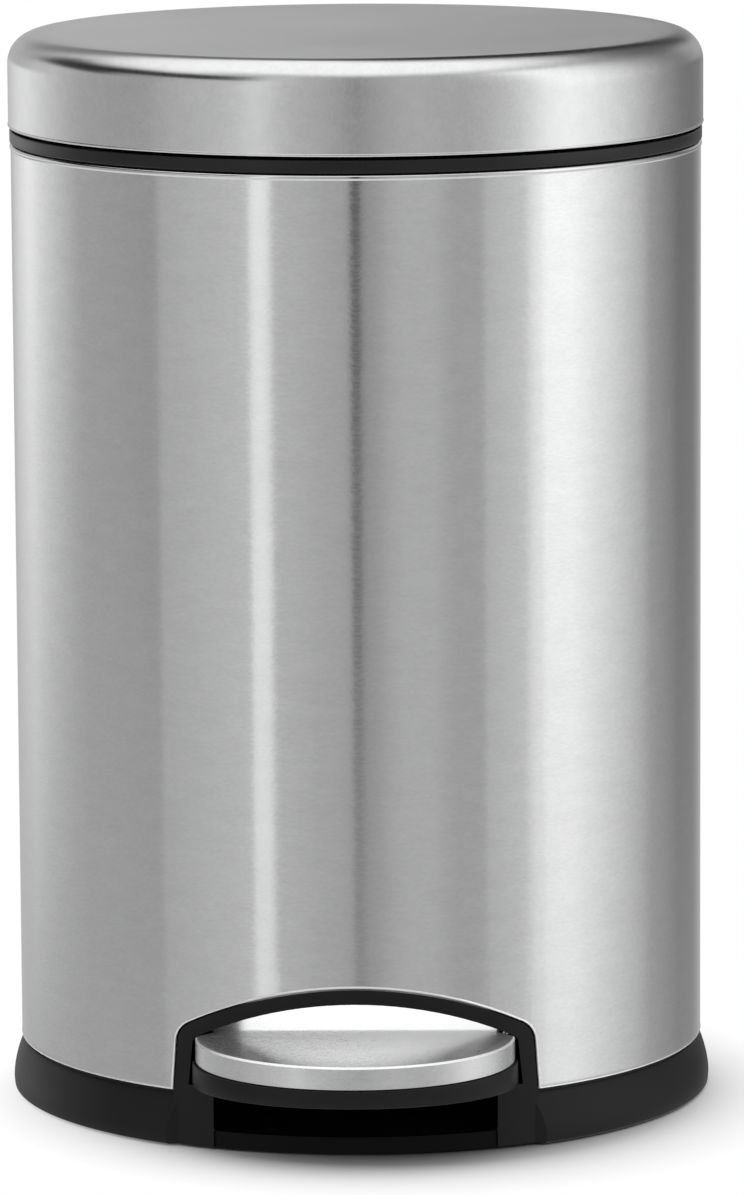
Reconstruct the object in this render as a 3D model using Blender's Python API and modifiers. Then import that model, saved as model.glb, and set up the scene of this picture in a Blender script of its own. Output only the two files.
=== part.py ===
"""Round pedal bin: steel body and lid, moulded base, pedal linkage, damper and lift-out bucket.

Metres, +Z up, the pedal towards -Y. The body's axis is the design's own Z axis, and the
root empty moves the whole bin in Y so that its box is centred on the origin.
"""

import math

import bmesh
import bpy
from mathutils import Matrix, Vector

# Shared clearances and sheet
GAP = 0.0003
RUN_GAP = 0.0006
STEEL = 0.0006
OVERRUN = 0.003
BITE = 0.0008
MERGE = 0.00001

# Steps round turned and drilled shapes
TURN_STEPS = 60
PIN_STEPS = 12
SMALL_STEPS = 16
CORNER_STEPS = 4
ARC_STEPS = 10

SIDES = (("left", -1), ("right", 1))

# Whole bin
HEIGHT = 0.290
BODY_RADIUS = 0.0935
BODY_BOTTOM = 0.0150

# Lid
LID_SKIRT = 0.025
LID_OVERHANG = 0.0006
LID_CORNER = 0.008
LID_REVEAL = 0.0046
LINER_WALL = 0.0018
LINER_DROP = 0.006
LINER_CORNER = 0.0065
LINER_LIP = 0.0011
LINER_RAISE = 0.0003
BUMPER_RADIUS = 0.0012
BUMPER_COUNT = 4

# Top rim
RIM_PLATE = 0.0016
RIM_FLANGE_HEIGHT = 0.0035
RIM_FLANGE_WIDTH = 0.0033
RIM_OVERHANG = 0.0003
RIM_SKIRT_WALL = 0.0015
RIM_SKIRT_DEPTH = 0.0127
RIM_LEDGE = 0.0082

# Base moulding
SKIRT_BOTTOM = 0.0005
SKIRT_REVEAL = 0.0010
SKIRT_BULGE = 0.0023
SKIRT_TOP_INSET = 0.0006
SKIRT_BULGE_HEIGHT = 0.0027
SKIRT_BULGE_SHARES = ((0.0, 1.0), (0.21, 0.863), (0.44, 0.708), (0.75, 0.451), (0.93, 0.204), (1.0, 0.0))
SKIRT_FOOT_INSET = 0.0006
SKIRT_FOOT_HEIGHT = 0.0006
COLLAR_WALL = 0.0015
COLLAR_HEIGHT = 0.0098
FLOOR_TOP = 0.0042
FLOOR_BOTTOM = 0.0025
FOOT_RING_INSET = 0.0035
FOOT_RING_WIDTH = 0.006
FOOT_RIB_WIDTH = 0.0022
FOOT_RIB_BOTTOM = 0.0010

# Arch round the pedal
ARCH_FOOT_HALF = 0.0483
ARCH_HALF = 0.0470
ARCH_TOP = 0.0448
ARCH_RADIUS = 0.093
ARCH_CORNER = 0.006
ARCH_BAND = 0.0039
ARCH_DEPTH = 0.0035
ARCH_PROUD = 0.0004
RECESS_HALF = 0.0377
RECESS_SHOULDER = 0.0170
LIP_TOP = 0.0050

# Pedal
PEDAL_SETBACK = 0.0055
PEDAL_HALF = 0.0431
PEDAL_DEPTH = 0.0309
PEDAL_TOP = 0.0312
PEDAL_BOTTOM = 0.0184
PEDAL_TILT = math.radians(3.5)
PEDAL_SKIRT = 0.0060
PEDAL_LEDGE = 0.0008
PEDAL_RIM = 0.0002
CREASE_SETBACK = 0.0070
BACK_SETBACK = 0.0200
BACK_TOP = 0.0409
PLATE_BACK_HALF = 0.0380
TAIL_HALF = 0.0340
TAIL_BACK = 0.0040
TAIL_SKIN = 0.0022
TAIL_NOSE = 0.0040
SPINE_HALF = 0.0083
POCKET_SETBACK = 0.0040
POCKET_END = 0.0080

# Pedal pivot and lever
PIVOT_REACH = 0.0620
PIVOT_Z = 0.0180
PIVOT_PIN_RADIUS = 0.0020
HUB_RADIUS = 0.0047
SADDLE_WALL = 0.0040
SADDLE_HALF = 0.0070
LEVER_HALF = 0.0015
LEVER_SETBACK = 0.0080
LEVER_FRONT_LOW = 0.0180
LEVER_FRONT_HIGH = 0.0250
LEVER_HUB_HALF = 0.0054
LEVER_END_HALF = 0.0038
RIVET_RADIUS = 0.0015
RIVET_HEAD_RADIUS = 0.0026
RIVET_HEAD = 0.0012
RIVET_FRONT_SETBACK = 0.0160
RIVET_FRONT_Z = 0.0215
RIVET_BACK_REACH = 0.0200
RIVET_BACK_Z = 0.0200

# Rear link
ROD_SETBACK = 0.0075
LINK_Z = 0.0086
LINK_PIN_RADIUS = 0.0015
CLIP_WIDTH = 0.0010
CLIP_WALL = 0.0012
PIN_HEAD = 0.0015
PIN_HEAD_WALL = 0.0011
ROD_X = 0.0060
ROD_RADIUS = 0.0016
ROD_EYE_HALF = 0.0016
ROD_EYE_WALL = 0.0015
ROD_BEND = 0.0028
ROD_TIP_X = -0.0065

# Lid hinge and drive lug
HINGE_SETBACK = 0.0045
HINGE_DROP = 0.0280
KNUCKLE_RADIUS = 0.0036
HINGE_PIN_RADIUS = 0.0015
ARM_INNER_X = 0.0103
ARM_OUTER_X = 0.0217
ARM_GAP = 0.0013
ARM_BOTTOM = 0.0010
ARM_ROOT_SETBACK = 0.0085
EAR_INSET = 0.0020
LID_SWING = math.radians(75)
LUG_HALF = 0.0025
LUG_SLOT_HALF = 0.0025
LUG_SLOT_PLAY = 0.0006
LUG_WALL = 0.0020
LUG_TOP_RISE = 0.0100
LUG_TOP_DEPTH = 0.0073
HOUSING_HALF = 0.0340
HOUSING_HEIGHT = 0.0225
HOUSING_TOP_DROP = 0.0045
HOUSING_COVER = 0.0004
HOUSING_SCREW_X = 0.0285
HOUSING_SCREW_DROP = 0.0195
HOUSING_SCREW_BITE = 0.0060
NOTCH_CLEAR = 0.0018
NOTCH_SETBACK = 0.0100

# Rear channel and damper
CHANNEL_HALF = 0.0240
CHANNEL_WALL = 0.0015
CHANNEL_SETBACK = 0.0185
CHANNEL_WEB_BOTTOM = 0.0340
CHANNEL_FOOT = 0.0103
CHANNEL_TAB_REACH = 0.0100
CHANNEL_TAB_DEPTH = 0.0070
BOSS_X = 0.0295
BOSS_SETBACK = 0.0150
BOSS_RADIUS = 0.0036
SCREW_RADIUS = 0.0012
SCREW_HEAD_RADIUS = 0.0028
SCREW_HEAD = 0.0020
GUIDE_THICK = 0.0030
GUIDE_HALF = 0.0055
GUIDE_HEIGHTS = (0.110, 0.200)
GUIDE_PLAY = 0.0007
GUIDE_REACH = 0.0035
DAMPER_X = -0.0140
DAMPER_SHIFT = 0.0002
DAMPER_RADIUS = 0.0052
DAMPER_WALL = 0.0010
DAMPER_END = 0.0020
DAMPER_BOTTOM = 0.0600
DAMPER_LENGTH = 0.0400
DAMPER_HOLD_HALF = 0.0070
DAMPER_STOP = 0.0040
DAMPER_CLIP_HEIGHT = 0.0060
DAMPER_CLIP_SHARES = (0.22, 0.62)
PLUNGER_RADIUS = 0.0014
PISTON_RADIUS = 0.0038
PISTON_LIFT = 0.0020
PISTON_LENGTH = 0.0060
PISTON_GROOVE = 0.0009
SEAL_WIDTH = 0.0014
SEAL_PROUD = 0.00015
PLUNGER_EYE_HALF = 0.0016
PLUNGER_EYE_WALL = 0.0010
PLUNGER_EYE_PLAY = 0.0006

# Bucket and bail
BUCKET_Y = -0.0060
BUCKET_SETBACK = 0.0163
BUCKET_TAPER = 0.0050
BUCKET_WALL = 0.0018
BUCKET_BOTTOM = 0.0480
BUCKET_FLANGE = 0.0040
BUCKET_CLEAR = 0.0012
BAIL_RADIUS = 0.0015
BAIL_INSET = 0.0005
BAIL_BEND = 0.0020
BAIL_TIP = 0.0015
EAR_WALL = 0.0022
EAR_HALF = 0.0035
EAR_CROWN = 0.0035
GRIP_RADIUS = 0.0030
GRIP_HALF_ANGLE = math.radians(22)

# Places and radii that follow from the sizes above
BUCKET_TOP_RADIUS = BODY_RADIUS - BUCKET_SETBACK
BUCKET_BOTTOM_RADIUS = BUCKET_TOP_RADIUS - BUCKET_TAPER
BUCKET_FLANGE_RADIUS = BUCKET_TOP_RADIUS + BUCKET_FLANGE
BAIL_SWEEP = BUCKET_TOP_RADIUS - BAIL_INSET
RIM_INNER_RADIUS = BUCKET_TOP_RADIUS - RIM_LEDGE
FOOT_RING_OUTER = BODY_RADIUS - FOOT_RING_INSET
PEDAL_WIDEST_Y = PEDAL_SETBACK - BODY_RADIUS
CREASE_Y = PEDAL_WIDEST_Y + CREASE_SETBACK
BACK_Y = PEDAL_WIDEST_Y + BACK_SETBACK
PIVOT_Y = PEDAL_WIDEST_Y + PIVOT_REACH
POCKET_FRONT_Y = PEDAL_WIDEST_Y + POCKET_SETBACK
POCKET_BACK_Y = PIVOT_Y - POCKET_END
LEVER_FRONT_Y = PEDAL_WIDEST_Y + LEVER_SETBACK
RIVET_PLACES = (
    (PEDAL_WIDEST_Y + RIVET_FRONT_SETBACK, RIVET_FRONT_Z),
    (PIVOT_Y - RIVET_BACK_REACH, RIVET_BACK_Z),
)
ROD_Y = BODY_RADIUS - ROD_SETBACK
ARM_ROOT_Y = BODY_RADIUS - ARM_ROOT_SETBACK
NOTCH_Y = BODY_RADIUS - NOTCH_SETBACK
CHANNEL_Y = BODY_RADIUS - CHANNEL_SETBACK
BOSS_Y = BODY_RADIUS - BOSS_SETBACK
HINGE_Z = HEIGHT - HINGE_DROP
HOUSING_TOP = HINGE_Z - HOUSING_TOP_DROP
EAR_OUTER_X = HOUSING_HALF - EAR_INSET
LID_BOTTOM = HEIGHT - LID_SKIRT
LID_RADIUS = BODY_RADIUS + LID_OVERHANG
BODY_TOP = LID_BOTTOM - LID_REVEAL
BODY_INNER = BODY_RADIUS - STEEL
RIM_BOTTOM = BODY_TOP + GAP
RIM_TOP = RIM_BOTTOM + RIM_PLATE
RIM_FLANGE_TOP = RIM_BOTTOM + RIM_FLANGE_HEIGHT
COLLAR_OUTER = BODY_INNER - GAP
COLLAR_INNER = COLLAR_OUTER - COLLAR_WALL
SKIRT_TOP = BODY_BOTTOM - SKIRT_REVEAL
HINGE_Y = BODY_RADIUS + HINGE_SETBACK
HOUSING_BACK = HINGE_Y + KNUCKLE_RADIUS + HOUSING_COVER
PEDAL_FRONT_Y = PEDAL_WIDEST_Y - PEDAL_DEPTH
BACK_SHIFT = -(PEDAL_FRONT_Y + HOUSING_BACK) / 2
LUG_ANGLE = LID_SWING / 2
ROD_OFFSET = HINGE_Y - ROD_Y
ROD_TOP = HINGE_Z - ROD_OFFSET * math.tan(LUG_ANGLE)
BUCKET_TOP = RIM_TOP + GAP + BUCKET_WALL
BAIL_Z = BUCKET_TOP + GAP + GRIP_RADIUS

STEEL_COLOUR = (0.62, 0.62, 0.63, 1)
BRIGHT_COLOUR = (0.55, 0.55, 0.56, 1)
BLACK_COLOUR = (0.018, 0.018, 0.02, 1)
BUCKET_COLOUR = (0.035, 0.035, 0.038, 1)
RUBBER_COLOUR = (0.012, 0.012, 0.012, 1)


def clear_scene():
    for thing in list(bpy.data.objects):
        bpy.data.objects.remove(thing, do_unlink=True)


def new_collection(name):
    made = bpy.data.collections.new(name)
    bpy.context.scene.collection.children.link(made)
    return made


def new_material(name, colour, roughness, metallic):
    made = bpy.data.materials.new(name)
    made.use_nodes = True
    shader = made.node_tree.nodes["Principled BSDF"]
    shader.inputs["Base Color"].default_value = colour
    shader.inputs["Roughness"].default_value = roughness
    shader.inputs["Metallic"].default_value = metallic
    made.diffuse_color = colour
    return made


def steel(name):
    return new_material(name, STEEL_COLOUR, 0.32, 1.0)


def bright_metal(name):
    return new_material(name, BRIGHT_COLOUR, 0.25, 1.0)


def black_plastic(name):
    return new_material(name, BLACK_COLOUR, 0.45, 0.0)


def bucket_plastic(name):
    return new_material(name, BUCKET_COLOUR, 0.5, 0.0)


def rubber(name):
    return new_material(name, RUBBER_COLOUR, 0.85, 0.0)


class Carrier:
    """An empty that carries pieces, with its place in the design frame."""

    def __init__(self, name, spot, under=None):
        self.spot = Vector(spot)
        self.empty = bpy.data.objects.new(name, None)
        bpy.context.scene.collection.objects.link(self.empty)
        self.empty.location = self.spot
        if under is not None:
            self.empty.parent = under.empty
            self.empty.location = self.spot - under.spot

    def take(self, thing):
        thing.parent = self.empty
        thing.location = thing.location - self.spot


class Bench:
    """The collections and the carrier that new shapes go to."""

    def __init__(self, parts, cutters, root):
        self.parts = parts
        self.cutters = cutters
        self.root = root

    def part(self, thing, finish, carrier=None, smooth=True):
        self.parts.objects.link(thing)
        thing.data.materials.append(finish(thing.name + "_finish"))
        (carrier or self.root).take(thing)
        if smooth:
            thing.data.shade_smooth()
            thing.data.set_sharp_from_angle(angle=math.radians(35))
        return thing

    def cutter(self, thing):
        self.cutters.objects.link(thing)
        thing.hide_render = True
        thing.display_type = "WIRE"
        self.root.take(thing)
        return thing


def mesh_object(name, shape):
    mesh = bpy.data.meshes.new(name)
    shape.to_mesh(mesh)
    shape.free()
    return bpy.data.objects.new(name, mesh)


def box(name, low, high):
    low = Vector(low)
    high = Vector(high)
    shape = bmesh.new()
    bmesh.ops.create_cube(shape, size=1, matrix=Matrix.Diagonal((high - low).to_4d()))
    thing = mesh_object(name, shape)
    thing.location = (low + high) / 2
    return thing


def cylinder(name, radius, start, end, steps=PIN_STEPS):
    """A cylinder between two points."""
    start = Vector(start)
    run = Vector(end) - start
    shape = bmesh.new()
    bmesh.ops.create_cone(
        shape, cap_ends=True, segments=steps, radius1=radius, radius2=radius, depth=run.length
    )
    thing = mesh_object(name, shape)
    thing.location = start + run / 2
    thing.rotation_euler = run.to_track_quat("Z", "Y").to_euler()
    return thing


def along_x(name, radius, low, high, y, z, steps=PIN_STEPS):
    return cylinder(name, radius, (low, y, z), (high, y, z), steps)


def turned(name, profile, closed=False, steps=TURN_STEPS):
    """A turned shape from (radius, height) points that run down its outer side."""
    mesh = bpy.data.meshes.new(name)
    last = len(profile) - 1
    edges = [(index, index + 1) for index in range(last)]
    if closed:
        edges.append((last, 0))
    mesh.from_pydata([(radius, 0, height) for radius, height in profile], edges, [])
    thing = bpy.data.objects.new(name, mesh)
    screw = thing.modifiers.new("Turn", "SCREW")
    screw.steps = steps
    screw.render_steps = steps
    screw.use_merge_vertices = True
    screw.merge_threshold = MERGE
    return thing


def as_mesh(curve):
    """The curve's surface as a mesh object with its caps welded, in the curve's place."""
    bpy.context.scene.collection.objects.link(curve)
    bpy.context.view_layer.update()
    seen = curve.evaluated_get(bpy.context.evaluated_depsgraph_get())
    mesh = bpy.data.meshes.new_from_object(seen)
    shape = bmesh.new()
    shape.from_mesh(mesh)
    bmesh.ops.remove_doubles(shape, verts=shape.verts, dist=MERGE)
    bmesh.ops.recalc_face_normals(shape, faces=shape.faces)
    shape.to_mesh(mesh)
    shape.free()
    name = curve.name
    place = curve.matrix_world.copy()
    bpy.data.objects.remove(curve)
    thing = bpy.data.objects.new(name, mesh)
    thing.matrix_world = place
    return thing


def prism(name, outline, thickness, spot, turn):
    """A flat outline with a thickness, its middle plane at the spot and turned."""
    curve = bpy.data.curves.new(name, "CURVE")
    curve.dimensions = "2D"
    curve.fill_mode = "BOTH"
    curve.extrude = thickness / 2
    spline = curve.splines.new("POLY")
    spline.points.add(len(outline) - 1)
    for point, (across, up) in zip(spline.points, outline):
        point.co = (across, up, 0, 1)
    spline.use_cyclic_u = True
    thing = bpy.data.objects.new(name, curve)
    thing.location = spot
    thing.rotation_euler = turn
    return as_mesh(thing)


def front_prism(name, outline, near_y, far_y):
    """An (x, z) outline run along Y."""
    middle = (near_y + far_y) / 2
    return prism(name, outline, far_y - near_y, (0, middle, 0), (math.pi / 2, 0, 0))


def side_prism(name, outline, low_x, high_x):
    """A (y, z) outline run along X."""
    middle = (low_x + high_x) / 2
    return prism(name, outline, high_x - low_x, (middle, 0, 0), (math.pi / 2, 0, math.pi / 2))


def plan_prism(name, outline, low_z, high_z, tilt=0, hinge_y=0):
    """An (x, y) outline, y counted from hinge_y, run along Z and tilted about that line."""
    middle = (low_z + high_z) / 2
    return prism(name, outline, high_z - low_z, (0, hinge_y, middle), (tilt, 0, 0))


def wire(name, points, radius):
    curve = bpy.data.curves.new(name, "CURVE")
    curve.dimensions = "3D"
    curve.bevel_depth = radius
    curve.bevel_resolution = 2
    curve.use_fill_caps = True
    spline = curve.splines.new("POLY")
    spline.points.add(len(points) - 1)
    for point, place in zip(spline.points, points):
        point.co = (*place, 1)
    return as_mesh(bpy.data.objects.new(name, curve))


def apply_shape(bench, thing, other, operation):
    bench.cutter(other)
    change = thing.modifiers.new(other.name, "BOOLEAN")
    change.operation = operation
    change.solver = "EXACT"
    change.object = other
    return thing


def cut(bench, thing, other):
    return apply_shape(bench, thing, other, "DIFFERENCE")


def join(bench, thing, other):
    return apply_shape(bench, thing, other, "UNION")


def keep_inside(bench, thing, other):
    return apply_shape(bench, thing, other, "INTERSECT")


def arc(centre, radius, start, end, steps=CORNER_STEPS):
    """Points of an arc in a plane, from one angle to another."""
    angles = [start + (end - start) * step / steps for step in range(steps + 1)]
    return [
        (centre[0] + radius * math.cos(angle), centre[1] + radius * math.sin(angle))
        for angle in angles
    ]


def rounded(corners, steps=CORNER_STEPS):
    """An outline through (x, y, radius) corners, each with an arc of its radius."""
    points = []
    for index, (across, up, radius) in enumerate(corners):
        here = Vector((across, up))
        if radius == 0:
            points.append(tuple(here))
            continue
        before = (Vector(corners[index - 1][:2]) - here).normalized()
        after = (Vector(corners[(index + 1) % len(corners)][:2]) - here).normalized()
        half = before.angle(after) / 2
        centre = here + (before + after).normalized() * radius / math.sin(half)
        start = here + before * radius / math.tan(half) - centre
        end = here + after * radius / math.tan(half) - centre
        sweep = math.atan2(start.x * end.y - start.y * end.x, start.dot(end))
        first = math.atan2(start.y, start.x)
        points.extend(arc(centre, radius, first, first + sweep, steps))
    return points


def beside(points, distance):
    """An open line moved sideways, to the right of the way it runs, with mitred corners."""
    rights = []
    for (across, up), (next_across, next_up) in zip(points, points[1:]):
        run = Vector((next_across - across, next_up - up)).normalized()
        rights.append(Vector((run.y, -run.x)))
    moved = []
    for index, point in enumerate(points):
        first = rights[max(index - 1, 0)]
        second = rights[min(index, len(rights) - 1)]
        across = (first + second).normalized()
        moved.append(tuple(Vector(point) + across * distance / across.dot(second)))
    return moved


def arch_outline(grow, bottom):
    """The arch's (x, z) outline, larger by grow on every side, down to bottom."""
    half = ARCH_HALF + grow
    foot = ARCH_FOOT_HALF + grow
    radius = ARCH_RADIUS + grow
    middle = ARCH_TOP + grow - radius
    corner_z = middle + math.sqrt(radius**2 - half**2)
    corner = ARCH_CORNER + grow
    points = [(foot, bottom, 0), (foot, BODY_BOTTOM, 0), (half, corner_z, corner)]
    for step in range(1, ARC_STEPS):
        across = half * (1 - 2 * step / ARC_STEPS)
        points.append((across, middle + math.sqrt(radius**2 - across**2), 0))
    points += [(-half, corner_z, corner), (-foot, BODY_BOTTOM, 0), (-foot, bottom, 0)]
    return rounded(points)


def window_outline():
    """The opening inside the arch, with the narrower recess below its shoulders."""
    inner = [point for point in arch_outline(-ARCH_BAND, RECESS_SHOULDER) if point[1] > BODY_BOTTOM]
    lower = [(-RECESS_HALF, RECESS_SHOULDER), (-RECESS_HALF, LIP_TOP)]
    mirrored = [(-across, up) for across, up in reversed(lower)]
    return inner + lower + mirrored


def half_ellipse(half, depth, steps=ARC_STEPS * 2):
    """The pedal's (x, y) nose, y counted from its widest line, from +X to -X."""
    angles = [math.pi * step / steps for step in range(steps + 1)]
    return [(half * math.cos(angle), -depth * math.sin(angle)) for angle in angles]


def clip_ring(name, pin_radius, low, y, z):
    """A spring clip on a pin along X."""
    hole = pin_radius + GAP
    clip = turned(
        name,
        [
            (hole + CLIP_WALL, CLIP_WIDTH / 2),
            (hole + CLIP_WALL, -CLIP_WIDTH / 2),
            (hole, -CLIP_WIDTH / 2),
            (hole, CLIP_WIDTH / 2),
        ],
        closed=True,
        steps=SMALL_STEPS,
    )
    clip.location = (low + CLIP_WIDTH / 2, y, z)
    clip.rotation_euler = (0, math.pi / 2, 0)
    return clip


def headed_pin(bench, name, radius, low, high, y, z):
    """A pin along X with a head at its low end, where low is the head's seat."""
    pin = along_x(name, radius, low - BITE, high, y, z)
    bench.part(pin, bright_metal)
    head = along_x(name + "_head", radius + PIN_HEAD_WALL, low - PIN_HEAD, low, y, z)
    return join(bench, pin, head)


def body_shell(bench):
    sleeve = turned(
        "body_shell",
        [
            (BODY_RADIUS, BODY_TOP),
            (BODY_RADIUS, BODY_BOTTOM),
            (BODY_INNER, BODY_BOTTOM),
            (BODY_INNER, BODY_TOP),
        ],
        closed=True,
    )
    bench.part(sleeve, steel)
    outline = arch_outline(GAP, BODY_BOTTOM - OVERRUN)
    cut(bench, sleeve, front_prism("arch_cut", outline, -BODY_RADIUS - OVERRUN, -BODY_RADIUS / 2))
    for side in (-1, 1):
        hole = cylinder(
            f"sleeve_hole_{side + 1}",
            RIVET_RADIUS + GAP,
            (side * HOUSING_SCREW_X, HOUSING_SCREW_X, HINGE_Z - HOUSING_SCREW_DROP),
            (side * HOUSING_SCREW_X, HOUSING_BACK, HINGE_Z - HOUSING_SCREW_DROP),
        )
        cut(bench, sleeve, hole)


def top_rim(bench):
    flange_outer = BODY_RADIUS + RIM_OVERHANG
    flange_inner = flange_outer - RIM_FLANGE_WIDTH
    skirt_bottom = RIM_BOTTOM - RIM_SKIRT_DEPTH
    rim = turned(
        "top_rim",
        [
            (flange_outer, RIM_FLANGE_TOP),
            (flange_outer, RIM_BOTTOM),
            (COLLAR_OUTER, RIM_BOTTOM),
            (COLLAR_OUTER, skirt_bottom),
            (COLLAR_OUTER - RIM_SKIRT_WALL, skirt_bottom),
            (COLLAR_OUTER - RIM_SKIRT_WALL, RIM_BOTTOM),
            (RIM_INNER_RADIUS, RIM_BOTTOM),
            (RIM_INNER_RADIUS, RIM_TOP),
            (flange_inner, RIM_TOP),
            (flange_inner, RIM_FLANGE_TOP),
        ],
        closed=True,
    )
    bench.part(rim, black_plastic)
    low = skirt_bottom - OVERRUN
    high = RIM_FLANGE_TOP + OVERRUN
    mouth = cylinder(
        "rim_mouth",
        BUCKET_TOP_RADIUS + BUCKET_CLEAR,
        (0, BUCKET_Y, low),
        (0, BUCKET_Y, high),
        TURN_STEPS,
    )
    cut(bench, rim, mouth)
    notch_half = ARM_OUTER_X + NOTCH_CLEAR
    back = flange_outer + OVERRUN
    cut(bench, rim, box("rim_notch", (-notch_half, NOTCH_Y, low), (notch_half, back, high)))
    slot_y = BUCKET_Y + BUCKET_FLANGE_RADIUS + GAP
    rod_clear = ROD_RADIUS + 2 * RUN_GAP
    slot = box(
        "rim_slot",
        (ROD_TIP_X - rod_clear, slot_y, low),
        (ROD_X + 2 * rod_clear, back, high),
    )
    cut(bench, rim, slot)


def hinge_housing(bench):
    bottom = HOUSING_TOP - HOUSING_HEIGHT
    front = BODY_RADIUS + GAP
    housing = box(
        "hinge_housing",
        (-HOUSING_HALF, BODY_RADIUS - HOUSING_HALF / 2, bottom),
        (HOUSING_HALF, HOUSING_BACK, HOUSING_TOP),
    )
    bench.part(housing, black_plastic)
    hollow = cylinder(
        "housing_hollow",
        front,
        (0, 0, bottom - OVERRUN),
        (0, 0, HOUSING_TOP + OVERRUN),
        TURN_STEPS,
    )
    cut(bench, housing, hollow)
    inner_ear = ARM_INNER_X - ARM_GAP
    outer_ear = ARM_OUTER_X + ARM_GAP
    neck_half = KNUCKLE_RADIUS - GAP
    ears = ((-EAR_OUTER_X, -outer_ear), (-inner_ear, inner_ear), (outer_ear, EAR_OUTER_X))
    for index, (low, high) in enumerate(ears):
        neck = box(
            f"housing_neck_{index}",
            (low + GAP / 2, HINGE_Y - neck_half, HOUSING_TOP - BITE),
            (high - GAP / 2, HINGE_Y + neck_half, HINGE_Z),
        )
        join(bench, housing, neck)
        ear = along_x(f"housing_ear_{index}", KNUCKLE_RADIUS, low, high, HINGE_Y, HINGE_Z)
        join(bench, housing, ear)
    bore = along_x(
        "housing_bore",
        HINGE_PIN_RADIUS + GAP,
        -EAR_OUTER_X - OVERRUN,
        EAR_OUTER_X + OVERRUN,
        HINGE_Y,
        HINGE_Z,
    )
    cut(bench, housing, bore)
    for side in (-1, 1):
        spot_x = side * HOUSING_SCREW_X
        spot_z = HINGE_Z - HOUSING_SCREW_DROP
        inner = math.sqrt(BODY_RADIUS**2 - HOUSING_SCREW_X**2)
        hole = cylinder(
            f"housing_screw_hole_{side + 1}",
            RIVET_RADIUS + GAP,
            (spot_x, inner - OVERRUN, spot_z),
            (spot_x, inner + HOUSING_SCREW_BITE + GAP, spot_z),
        )
        cut(bench, housing, hole)


def housing_screws(bench):
    """The screws from inside the sleeve into the housing."""
    head_out = HOUSING_SCREW_X + SCREW_HEAD_RADIUS + GAP
    seat = math.sqrt(BODY_INNER**2 - head_out**2) - 2 * GAP
    reach = math.sqrt(BODY_RADIUS**2 - HOUSING_SCREW_X**2) + HOUSING_SCREW_BITE
    spot_z = HINGE_Z - HOUSING_SCREW_DROP
    for word, side in SIDES:
        spot_x = side * HOUSING_SCREW_X
        screw = cylinder(
            f"housing_screw_{word}",
            RIVET_RADIUS,
            (spot_x, seat - BITE, spot_z),
            (spot_x, reach, spot_z),
        )
        bench.part(screw, bright_metal)
        head = cylinder(
            f"housing_screw_head_{word}",
            SCREW_HEAD_RADIUS,
            (spot_x, seat - SCREW_HEAD, spot_z),
            (spot_x, seat, spot_z),
        )
        join(bench, screw, head)


def hinge_pin(bench):
    seat = -EAR_OUTER_X - GAP
    end = EAR_OUTER_X + GAP + 2 * CLIP_WIDTH
    headed_pin(bench, "hinge_pin", HINGE_PIN_RADIUS, seat, end, HINGE_Y, HINGE_Z)
    clip = clip_ring("hinge_clip", HINGE_PIN_RADIUS, EAR_OUTER_X + GAP, HINGE_Y, HINGE_Z)
    bench.part(clip, bright_metal)


def skirt_profile():
    """The outside of the base's skirt, top to bottom."""
    top = BODY_RADIUS - SKIRT_TOP_INSET
    widest = BODY_RADIUS + SKIRT_BULGE
    rise = SKIRT_TOP - SKIRT_BULGE_HEIGHT
    upper = [
        (top + (widest - top) * out, SKIRT_BULGE_HEIGHT + rise * up)
        for out, up in SKIRT_BULGE_SHARES
    ]
    foot = widest - SKIRT_FOOT_INSET
    lower = [
        (widest - SKIRT_FOOT_INSET / 4, SKIRT_BOTTOM + SKIRT_FOOT_HEIGHT),
        (foot, SKIRT_BOTTOM),
    ]
    return upper + lower


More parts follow.
